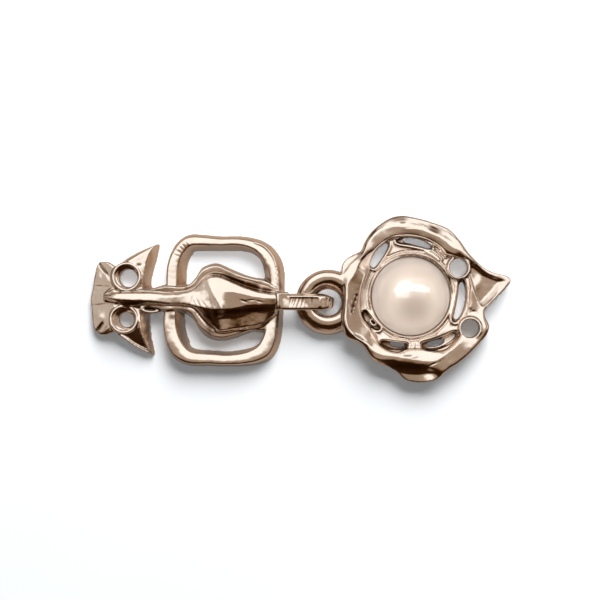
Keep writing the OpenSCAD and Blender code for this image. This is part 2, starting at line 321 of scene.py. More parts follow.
hookHalf = {
    "voxel": 0.1,  # fineness of the mesh while it is formed
    "meltPasses": 3,
    "hammering": [("broad hammering", 0.05, 1.6), ("fine hammering", 0.016, 0.5)],  # name, depth, size
    "keepFaces": 0.55,  # share of the faces that stay in the end
    "frameHeight": 2.7,
    "rimWire": 0.16,
    "boss": {"x": -22.8, "y": -1.45, "length": 2.9, "width": 1, "height": 2.4, "rim": 0.28, "turn": 0},
    "stripFrom": -2.6,
    "stripWidth": 2.5,
    "stripThickness": 1.05,
    "stripTop": 4.45,
    "stripLean": 0.12,  # how much lower the strip's -Y edge is
    "noseFrom": 2.6,  # where the strip starts to narrow
    "noseReach": 5.15,
    "hookLift": 0.1,  # gap under the hook
    "hookTip": -0.6,
}

# clockwise from the left rail: outer edge, outer wall, face and inner wall widths,
# then the crest's place across the face and how far the face drops to its outer and inner edges
frameRows = [
    # x, y, outer wall, face, inner wall, crest, outer drop, inner drop
    [-20.8, 0.4, 0.25, 1.5, 1.4, 0.6, 0.08, 0.06],
    [-20.65, 2.5, 0.25, 1.5, 1.4, 0.6, 0.08, 0.06],
    [-20.5, 5.1, 0.25, 1.5, 1.4, 0.6, 0.08, 0.08],
    [-19.8, 7.4, 0.35, 1.4, 1.3, 0.45, 0.1, 0.12],
    [-18.6, 9.1, 0.45, 1.4, 1.2, 0.35, 0.08, 0.16],
    [-17, 9.95, 0.5, 1.3, 1, 0.8, 0.08, 0.06],
    [-15, 9.95, 0.5, 1.2, 0.9, 0.8, 0.08, 0.06],
    [-12.1, 9.7, 0.5, 1, 0.85, 0.8, 0.1, 0.06],
    [-9.1, 9.7, 0.5, 1, 0.85, 0.8, 0.12, 0.06],
    [-6.5, 9.25, 0.65, 1.2, 0.6, 0.8, 0.15, 0.06],
    [-4.5, 8.2, 0.85, 1.5, 0.4, 0.7, 0.2, 0.05],
    [-3.1, 6.5, 1.05, 1.5, 0.5, 0.6, 0.2, 0.08],
    [-2.45, 4.6, 1.1, 1.3, 0.8, 0.6, 0.2, 0.1],
    [-2.4, 2.2, 1, 1.15, 0.9, 0.6, 0.15, 0.1],
    [-2.4, -0.1, 1, 1.2, 0.9, 0.5, 0.1, 0.1],
    [-2.6, -2.4, 1.1, 1.4, 0.3, 0.5, 0.1, 0.1],
    [-2.75, -4.8, 1.1, 1.5, 0.2, 0.5, 0.08, 0.12],
    [-3.15, -6.9, 0.95, 1.8, 0.15, 0.4, 0.08, 0.1],
    [-4.2, -8.9, 0.85, 2, 0.2, 0.5, 0.1, 0.1],
    [-5.9, -9.9, 0.7, 1.9, 0.35, 0.42, 0.12, 0.08],
    [-8.1, -10.3, 0.55, 1.6, 0.55, 0.42, 0.1, 0.1],
    [-10.9, -10.4, 0.45, 1.4, 0.6, 0.42, 0.08, 0.1],
    [-13.9, -10.3, 0.45, 1.45, 0.6, 0.42, 0.08, 0.1],
    [-16.7, -10.25, 0.4, 1.7, 0.65, 0.42, 0.12, 0.1],
    [-18.7, -9.6, 0.4, 2, 0.9, 0.42, 0.15, 0.12],
    [-20, -8.3, 0.35, 2.1, 1.1, 0.55, 0.15, 0.12],
    [-20.75, -6.3, 0.3, 1.9, 1.3, 0.5, 0.15, 0.1],
    [-21.1, -4.1, 0.25, 1.8, 1.4, 0.5, 0.15, 0.1],
    [-21, -1.8, 0.25, 1.65, 1.4, 0.5, 0.12, 0.1],
]

# lines that run along the spine and the belly, from the upper foot over the crest to the lower foot
bellyLines = {
    # each knot is x, y, z
    "upper foot": [
        [-30, 0.8, 0], [-29.3, 1.6, 0], [-26.3, 1.8, 0], [-23.2, 1.7, 0], [-20.4, 2.3, 0],
        [-17.8, 2.2, 0], [-16.9, 2.5, 0], [-16.1, 3.4, 0], [-15.2, 4.8, 0], [-14.4, 5.2, 0],
        [-13.4, 5.5, 0], [-12.5, 5.45, 0], [-11.6, 5.1, 0], [-9.3, 4.1, 0], [-7, 3.35, 0], [-5.5, 3.1, 0],
        [-3.6, 1.9, 0]],
    "upper lip, outside": [
        [-30, 0.75, 2], [-29.3, 1.4, 2.3], [-26.3, 1.55, 2.6], [-23.2, 1.45, 2.75], [-20.4, 1.95, 2.95],
        [-17.8, 1.9, 3], [-16.9, 2.15, 3.05], [-16.1, 2.9, 3.1], [-15.2, 4.2, 3.15], [-14.4, 4.75, 3.15],
        [-13.4, 5.05, 3.15], [-12.5, 5.05, 3.15], [-11.6, 4.65, 3.15], [-9.3, 3.7, 3.1], [-7, 3.05, 3.05],
        [-5.5, 2.8, 3], [-3.6, 1.7, 2.8]],
    "upper lip, inside": [
        [-30, 0.7, 2], [-28.5, 1.3, 2.3], [-26.3, 1.3, 2.5], [-23.2, 1.15, 2.65], [-20.4, 1.15, 2.8],
        [-17.8, 1.35, 2.9], [-16.2, 1.95, 2.97], [-14.7, 3.6, 3.05], [-13.4, 4.2, 3.05],
        [-12.4, 4.15, 3.04], [-11.2, 3.75, 3.01], [-10.1, 3.35, 2.99], [-7.8, 2.8, 2.97],
        [-5.5, 2.15, 2.93], [-3.6, 1.3, 2.75]],
    "upper groove": [
        [-30, 0.6, 2], [-28.5, 1, 2.2], [-26.3, 1.15, 2.3], [-23.2, 1.05, 2.45], [-20.4, 0.95, 2.65],
        [-17.8, 1.15, 2.75], [-16.2, 1.65, 2.7], [-14.7, 3.2, 2.8], [-13.4, 3.65, 2.7],
        [-12.4, 3.55, 2.6], [-10.1, 2.6, 2.45], [-7.8, 1.75, 2.35], [-6.5, 1.4, 2.35], [-5.5, 1.2, 2.4],
        [-3.6, 0.9, 2.5]],
    "ridge foot": [
        [-30, 0.5, 2.2], [-28.5, 0.85, 2.8], [-26.3, 0.95, 3.1], [-23.2, 0.95, 3.3], [-20.4, 0.8, 3.45],
        [-17.8, 1, 3.6], [-16.2, 1.5, 3.75], [-14.7, 2.9, 3.9], [-13.4, 3.35, 4.15], [-12.4, 3.3, 4.2],
        [-10.1, 2.45, 4.35], [-7.8, 1.5, 4.5], [-5.5, 0.9, 4.4], [-3.6, 0.7, 4.3]],
    "crest": [
        [-30, 0.4, 2.4], [-28.5, 0.45, 3], [-26.3, 0.5, 3.3], [-23.2, 0.45, 3.5], [-20.4, 0.4, 3.65],
        [-17.8, 0.6, 3.8], [-16.2, 0.95, 3.95], [-14.7, 1.3, 4.35], [-13.2, 1.35, 4.8],
        [-12.4, 1.25, 4.87], [-10.1, 1.2, 4.85], [-7.8, 0.6, 4.8], [-5.5, 0.25, 4.65],
        [-3.6, 0.15, 4.45]],
    "facet's lower edge": [
        [-30, 0.3, 2.4], [-28.5, 0, 3], [-26.3, -0.1, 3.35], [-23.2, -0.2, 3.55], [-20.4, -0.55, 3.6],
        [-17.8, -0.65, 3.75], [-16.2, -0.95, 4], [-14.7, -1.25, 4.4], [-13.2, -1.5, 4.75],
        [-12.5, -1.55, 4.92], [-11.9, -1.55, 4.92], [-11.2, -1.45, 4.6], [-10.1, -1.35, 4.5],
        [-7.8, -0.9, 4.55], [-5.5, -0.85, 4.45], [-3.6, -0.85, 4.2]],
    "dark side's foot": [
        [-30, 0.1, 2.1], [-28.5, -0.3, 2.7], [-26.3, -1, 2.7], [-23.2, -0.65, 3.2], [-20.4, -0.85, 3.35],
        [-17.8, -0.9, 3.45], [-16.2, -1.3, 3.7], [-14.7, -2.6, 3.4], [-13.4, -3.3, 3.5],
        [-12.4, -2.95, 3.75], [-10.1, -2.85, 3.7], [-9, -2.6, 3.45], [-7.8, -2, 3.85], [-5.5, -1.9, 3.75],
        [-3.6, -1.6, 3.7]],
    "lower groove": [
        [-30, -0.1, 2], [-28.5, -0.5, 2.4], [-26.3, -1.05, 2.4], [-23.2, -0.75, 2.6], [-20.4, -0.95, 2.7],
        [-17.8, -1, 2.75], [-16.2, -1.5, 2.5], [-14.7, -3.4, 2.6], [-13.4, -4.5, 2.55],
        [-12.4, -4.7, 3.3], [-10.1, -4.45, 3.3], [-9, -4.3, 3.05], [-7.8, -4.1, 3.38], [-5.5, -3.5, 3.4],
        [-3.6, -2, 3.2]],
    "lower lip, inside": [
        [-30, -0.15, 2], [-28.5, -0.6, 2.3], [-26.3, -1.15, 2.4], [-23.2, -0.85, 2.7], [-20.4, -1.1, 2.9],
        [-17.8, -1.15, 2.95], [-16.2, -1.7, 2.95], [-14.7, -3.6, 2.8], [-13.4, -4.75, 2.7],
        [-12.4, -5.1, 2.65], [-10.1, -4.85, 2.6], [-7.8, -4.5, 2.55], [-5.5, -3.95, 2.55],
        [-3.6, -2.1, 2.6]],
    "lower lip, outside": [
        [-30, -0.2, 1.9], [-28.5, -0.8, 2.2], [-26.3, -1.25, 2.3], [-23.2, -1.2, 2.65],
        [-20.4, -1.7, 2.85], [-17.8, -1.6, 2.9], [-16.9, -2, 2.88], [-16.1, -3, 2.8], [-15.6, -3.9, 2.72],
        [-14.7, -4.8, 2.68], [-13.4, -5.65, 2.6], [-12.1, -5.9, 2.55], [-10.9, -5.7, 2.5],
        [-9.6, -5.35, 2.5], [-8.4, -4.95, 2.45], [-7.3, -4.7, 2.45], [-5.5, -4.6, 2.45],
        [-3.6, -2.3, 2.5]],
    "lower foot": [
        [-30, -0.25, 0], [-28.5, -1.1, 0], [-26.3, -1.3, 0], [-23.2, -1.9, 0], [-20.4, -1.9, 0],
        [-18, -2, 0], [-17.2, -2.6, 0], [-16.1, -3.65, 0], [-15.6, -4.6, 0], [-15, -5.35, 0],
        [-14.25, -5.95, 0], [-13.3, -6.3, 0], [-12.1, -6.45, 0], [-10.9, -6.3, 0], [-9.6, -5.9, 0],
        [-8.4, -5.45, 0], [-7.3, -5.1, 0], [-5.5, -5, 0], [-3.6, -2.4, 0]],
}

# fins by y, from the foot of one edge over the top to the foot of the other
upperFinRows = [
    # y, left foot, left edge, bevel, right edge, right foot, height
    [0.6, -28.9, -28.7, -28.5, -24.2, -22.6, 2.35],
    [2.5, -28.9, -28.7, -28.5, -24.1, -22.85, 2.5],
    [3.6, -28.9, -28.6, -28.4, -23.9, -22.7, 2.55],
    [4.6, -28.8, -28.4, -28, -23.75, -22.45, 2.6],
    [5.6, -27.6, -27.2, -26.6, -23.6, -22.15, 2.6],
    [6.7, -26, -25.4, -24.8, -23.2, -21.85, 2.6],
    [7.6, -24.2, -23.6, -23.2, -22.7, -21.7, 2.5],
    [8.2, -22.6, -22.4, -22.3, -22.1, -21.6, 2.4],
    [8.45, -21.9, -21.85, -21.85, -21.8, -21.7, 2.2],
]
lowerFinRows = [
    # y, left foot, left edge, bevel, right edge, right foot, height
    [-8.5, -22.8, -22.7, -22.65, -22.5, -22.4, 1],
    [-8.3, -23.4, -23.1, -23, -22.8, -22.3, 1.05],
    [-7.6, -24.7, -24.1, -24, -23.2, -22.45, 1.25],
    [-6.7, -26.3, -25.6, -25.5, -23.8, -22.65, 1.55],
    [-5.6, -27.7, -27.3, -27.1, -24.25, -22.85, 1.95],
    [-4.4, -29, -28.7, -28.5, -24.55, -22.95, 2.35],
    [-3.2, -29.1, -28.9, -28.7, -24.7, -23.1, 2.45],
    [-2.1, -28.9, -28.7, -28.5, -24.6, -23, 2.4],
    [-0.3, -28.9, -28.7, -28.5, -24.4, -22.7, 2.35],
]
# raised rims of the lower fin and of the frame's right rail: x, y, z
lowerFinRims = [
    [[-24.6, -2.2, 2.4], [-24.5, -3.6, 2.45], [-24.3, -5, 2.35], [-23.9, -6.3, 2.1], [-23.4, -7.3, 1.8],
     [-22.9, -8.1, 1.5]],
    [[-28, -5.2, 2.1], [-26.8, -6, 1.9], [-25.6, -6.9, 1.65], [-24.2, -7.7, 1.4], [-23, -8.2, 1.3]],
]
frameRims = [
    [[-7.2, 8.75, 2.55], [-5.6, 8.1, 2.55], [-4.3, 6.7, 2.55], [-3.7, 5.1, 2.55], [-3.4, 3, 2.55],
     [-3.3, 1.3, 2.55]],
]

# sewing holes: place and radius of the bore, place and radius of its mouth, height where it widens
finHoles = [
    # bore x, y, radius, mouth x, y, radius, from, to
    [-26.3, 3.2, 1.38, -26.5, 3.5, 1.75, 2.3, 2.65],
    [-26.6, -3.15, 1.15, -27, -3.05, 1.75, 2, 2.5],
]
# raised ring round each hole
finRings = [
    # x, y, z, radius, wire radius
    [-26.6, 3.4, 2.5, 2.02, 0.3],
    [-27, -3.05, 2.4, 2, 0.24],
]

fanRows = [
    # y, outer edge x, crest x, crest height
    [-5.45, -30.6, -29.9, 1.7],
    [-4.95, -31.3, -29, 2.15],
    [-4.3, -31.7, -28.7, 2.3],
    [-3.2, -31.9, -28.5, 2.4],
    [-1.65, -32, -28.5, 2.4],
    [-0.05, -32.15, -28.5, 2.45],
    [1.4, -31.9, -28.5, 2.45],
    [2.95, -31.65, -28.5, 2.45],
    [4.2, -31.4, -28.5, 2.4],
    [5.1, -31.2, -28.9, 2.2],
    [5.75, -30.7, -29.9, 1.8],
]

# tool marks: dents and bumps on the upward faces
hookMarks = [
    # x, y, length, width, turn, lift
    # tail fan
    [-30.3, 4.7, 2, 0.3, -50, -0.3],
    [-30.9, -4.4, 1.7, 0.3, 52, -0.3],
    [-30.4, 1.9, 3.4, 0.4, -3, -0.06],
    [-31, 3.6, 1.4, 1.2, -30, 0.1],
    [-29.7, 3.2, 1.6, 1, -60, 0.08],
    [-30.7, -0.9, 3, 0.4, 5, -0.06],
    [-30.9, -2.7, 1.4, 1.4, 20, 0.1],
    [-29.4, -4.3, 1.4, 0.8, 40, 0.12],
    # upper fin and spine
    [-24.7, 5.25, 0.7, 0.3, 0, -0.08],
    [-23.2, 0.35, 1.2, 0.2, 0, -0.03],
    # belly
    [-12.8, 0.1, 3.4, 0.8, -62, 0.16],
    [-8.6, -0.3, 1, 0.25, -20, -0.08],
    [-7.4, -0.15, 1.4, 0.2, 5, -0.05],
    [-6.2, -0.35, 0.9, 0.2, -10, -0.06],
    [-15.6, -0.5, 1.8, 0.4, -65, -0.03],
    [-16.3, -0.4, 1.6, 0.4, -70, -0.03],
    [-14.6, -0.9, 1.4, 0.4, -55, -0.04],
    # scratches on the frame's upper left corner
    [-18.3, 7.8, 1, 0.14, 135, -0.06],
    [-17.9, 8.2, 1, 0.14, 125, -0.06],
    [-17.4, 8.5, 1, 0.14, 118, -0.06],
    [-18.7, 7.3, 1, 0.14, 145, -0.06],
    [-19, 6.7, 1, 0.14, 155, -0.06],
    [-16.8, 8.7, 0.9, 0.14, 108, -0.05],
    # notches across the strip
    [1.75, -0.4, 1.7, 0.2, 90, -0.12],
    [-1.5, -0.3, 1.6, 0.2, 80, -0.1],
    [-1.15, -0.4, 1.2, 0.15, 75, -0.07],
    [-0.75, -0.3, 1.6, 0.2, 72, -0.1],
    [-0.2, -0.35, 1.6, 0.2, 75, -0.1],
    [0.35, -0.4, 1.6, 0.25, 80, -0.1],
    [0.9, -0.5, 1.2, 0.25, 90, -0.06],
    [4, 0, 0.8, 0.2, 80, -0.1],
    [4.5, 0, 0.8, 0.2, 80, -0.1],
]

# dark patina and painted shade in the hollows and on the dark slopes
hookStainsAndShade = [
    # x, y, length, width, turn, strength
    # painted shade in the upper groove of the belly
    [-12.6, 3.75, 2.6, 0.5, -5, 0.5],
    [-9.8, 2.75, 4, 0.9, -24, 0.8],
    [-7.4, 1.9, 2.4, 1, -22, 1],
    [-5.2, 1.4, 1.6, 0.8, -20, 0.6],
    # creases and pits on the belly, and a painted shade line left of its bright streak
    [-8.6, -0.3, 1.2, 0.3, -20, 0.6],
    [-6.2, -0.35, 0.9, 0.25, -10, 0.6],
    [-13.5, -0.7, 2.4, 0.3, -72, 0.5],
    [-15.4, -0.6, 1.4, 0.25, -60, 0.3],
    [-16.6, 0.1, 1.2, 0.2, 70, 0.3],
    # painted shade on the dark side of the belly
    [-14, -3.6, 3.6, 1.3, -70, 0.95],
    [-12.4, -2.1, 1.8, 1.5, 0, 1],
    [-8.5, -1.7, 8, 0.7, 5, 0.8],
    [-10, -4.75, 5, 0.3, 8, 0.5],
    # spine, painted shade in the boss's hollow, and lower fin
    [-26, -0.65, 5, 0.6, 0, 0.8],
    [-23.5, 1.4, 8, 0.6, 2, 0.4],
    [-22.8, -1.5, 2, 0.4, 0, 0.4],
    [-22.8, -1.5, 3.6, 1.6, 0, 0.35],
    [-23.4, -4.6, 6, 1, 77, 0.5],
    # tail fan and upper fin
    [-30.3, 4.7, 2, 0.3, -50, 0.6],
    [-30.9, -4.4, 1.7, 0.3, 52, 0.7],
    [-24.7, 5.25, 0.7, 0.3, 0, 0.8],
    # frame
    [-19.6, -2.7, 1.1, 0.8, 0, 0.9],
    [-5.6, 5.1, 1.3, 0.6, -60, 0.7],
    [-3.2, 2.1, 0.8, 1.4, 20, 0.6],
    # strip and hook, with painted shade on the strip's side wall that faces +Y
    [-2.7, 0.9, 1.6, 0.3, 0, 0.5],
    [1.5, 0.75, 3.5, 0.35, 0, 0.35],
    [1.75, -0.4, 1.7, 0.2, 90, 0.7],
    [4, 0, 0.8, 0.3, 80, 0.8],
    [4.5, 0, 0.8, 0.3, 80, 0.8],
    [5, -0.4, 0.5, 2.2, 0, 0.5],
]


def addFrame(bm):
    steps = 5
    rows = smoothRows(frameRows, steps, closed=True)
    n = len(rows)
    top = hookHalf["frameHeight"]
    sections = []
    for i in range(n):
        x, y, wall, face, inner, crest, outerDrop, innerDrop = rows[i]
        along = rows[(i + steps) % n][:2] - rows[(i - steps) % n][:2]
        inward = np.array([along[1], -along[0]]) / np.hypot(*along)
        outerTop, innerTop, crestIn = top - outerDrop, top - innerDrop, face * crest
        # over the rail: distance in from the outline, height
        across = [(0, 0), (wall * 0.6, outerTop - 0.5), (wall, outerTop - 0.06),
                  (wall + 0.12, outerTop + 0.02), (wall + crestIn * 0.5, top - outerDrop * 0.3),
                  (wall + crestIn, top), (wall + face * (crest + 1) / 2, top - innerDrop * 0.35),
                  (wall + face - 0.08, innerTop), (wall + face + 0.03, innerTop - 0.12),
                  (wall + face + inner, 0)]
        sections.append([(x + inward[0] * d, y + inward[1] * d, z) for d, z in across])
    addSkin(bm, sections, closed=True)


def addBelly(bm):
    first, last, step = -30, -3.55, 0.2
    stations = np.arange(first, last, step)
    lines = [curveAt(knots, stations) for knots in bellyLines.values()]
    addSkin(bm, [[(x, *line[i]) for line in lines] for i, x in enumerate(stations)])


def addFin(bm, rows):
    bevelDrop = 0.3
    sections = []
    for y, leftFoot, leftEdge, bevel, rightEdge, rightFoot, height in smoothRows(rows, 4):
        sections.append([(leftFoot, y, 0), (leftEdge, y, height - bevelDrop), (bevel, y, height),
                         (rightEdge, y, height), (rightFoot, y, 0)])
    addSkin(bm, sections)


def addFan(bm):
    # the fan falls from its crest to the outer edge
    sections = []
    for y, edge, crest, height in smoothRows(fanRows, 4):
        reach = crest - edge
        back = crest + 0.4
        sections.append([(edge, y, 0), (edge, y, height - reach * 0.39),
                         ((edge + crest) / 2, y, height - reach * 0.2), (crest, y, height),
                         (back, y, height), (back, y, 0)])
    addSkin(bm, sections)


def addHook(bm):
    # a rounded strip that runs over the ring, turns down through its hole and back below it
    half, thick = hookHalf["stripWidth"] / 2, hookHalf["stripThickness"]
    low, high = hookHalf["hookLift"], hookHalf["stripTop"]
    noseFrom, noseReach = hookHalf["noseFrom"], hookHalf["noseReach"]
    radius = (high - low - thick) / 2
    turnX = noseReach - radius - thick / 2
    path = [(x, high - thick / 2, 0, 1) for x in np.linspace(hookHalf["stripFrom"], turnX, 14)]
    for angle in np.radians(np.arange(80, -90, -10)):
        path.append((turnX + radius * math.cos(angle), low + thick / 2 + radius * (1 + math.sin(angle)),
                     math.cos(angle), math.sin(angle)))
    path += [(x, low + thick / 2, 0, -1) for x in np.linspace(turnX, hookHalf["hookTip"], 6)]
    sections = []
    for x, z, outX, outZ in path:
        # it leans less at its start, and narrows towards the nose
        lean = hookHalf["stripLean"] * min(max(x / 0.6, 0.25), 1)
        nose = min(max((x - noseFrom) / (noseReach - noseFrom), 0), 1)
        wide = half * math.sqrt(1 - 0.8 * nose ** 2.5)
        deep = thick / 2
        section = [(-wide, -deep), (wide, -deep), (wide, -deep + 0.3), (wide - 0.4, deep),
                   (-wide + 0.3, deep - lean), (-wide, deep - lean - 0.2)]
        sections.append([(x + outX * d, ringAt[1] + across, z + outZ * d) for across, d in section])
    addSkin(bm, sections)


def addStripTrim(bm):
    # the step where the strip leaves the belly, and the raised edge along the strip
    high = hookHalf["stripTop"]
    top = high - 0.1
    stepFoot = 2.3
    step = [(1.15, stepFoot), (1.05, high), (0.95, high + 0.08), (-1.5, high - 0.18), (-1.55, stepFoot)]
    addSkin(bm, [[(x, y, z) for y, z in step] for x in (-3.7, -3.5, -2, -1.9)])
    addTube(bm, [[-3.45, 0.8, high], [-3.42, 0, high], [-3.4, -1.1, high - 0.05]], 0.22)
    addTube(bm, [[-1.6, 0.4, top], [0, 0.4, top], [1.6, 0.4, top], [2.7, 0.38, top], [2.95, 0.1, top],
                 [2.95, -0.5, top - 0.03], [2.95, -1.1, top - 0.06]], 0.2)


def makeFinDrill():
    # bores with a mouth that is wider and a little to one side
    holes = []
    for boreX, boreY, boreR, mouthX, mouthY, mouthR, low, high in finHoles:
        holes.append([(boreX, boreY, boreR, cutFrom), (boreX, boreY, boreR, low),
                      (mouthX, mouthY, mouthR, high), (mouthX, mouthY, mouthR, cutTo)])
    return makeDrill(holes)


def makeHookHalf(material):
    bm = bmesh.new()
    addFrame(bm)
    addBelly(bm)
    addFin(bm, upperFinRows)
    addFin(bm, lowerFinRows)
    addFan(bm)
    addHook(bm)
    addStripTrim(bm)
    for rim in lowerFinRims + frameRims:
        addTube(bm, smoothRows(rim, 4), hookHalf["rimWire"])
    for *place, radius, wire in finRings:
        addRing(bm, *place, radius, roundSection(wire))
    addBoss(bm, **hookHalf["boss"])
    piece = meshPiece(bm, "hook_half_casting")
    fuse(piece, hookHalf["voxel"])
    cutOut(piece, makeFinDrill())
    fuse(piece, hookHalf["voxel"])
    finishCasting(piece, hookHalf, hookMarks, hookStainsAndShade, material, "hook_half")
    return piece


# Eye half: petals round the pearl, spike, slots, cup and ring

eyeHalf = {
    "voxel": 0.1,  # fineness of the mesh while it is formed
    "meltPasses": 3,
    "hammering": [("petal hammering", 0.05, 1.8), ("petal grain", 0.012, 0.5)],  # name, depth, size
    "keepFaces": 0.45,  # share of the faces that stay in the end
    "ringRadius": 3.5,
    "ringZ": 2.25,
    "ringTilt": 8,
    "ringShear": 0.2,
    "rimInset": 0.22,  # rims round the slots
    "rimWire": 0.22,
    "rimHeight": 2.22,
    "ridgeWire": 0.16,
    "holeRadius": 1.4,
    "collarRadius": 1.85,
    "curl": {"x": 11.1, "y": -3.55, "length": 1.1, "width": 0.65, "height": 1.9, "rim": 0.17, "turn": -45},
}

# the ring's wire is faceted a little: distance from its middle line, and height
ringSection = [
    [-1.5, -0.6], [-1.2, -0.9], [-0.7, -1], [0.7, -1], [1.2, -0.9], [1.5, -0.6], [1.42, 0], [1.2, 0.38],
    [0.82, 0.76], [0.74, 0.82], [0.33, 0.98], [0.25, 1], [-0.4, 1], [-0.48, 0.98], [-0.82, 0.84],
    [-0.92, 0.75], [-1.2, 0.42], [-1.42, 0],
]

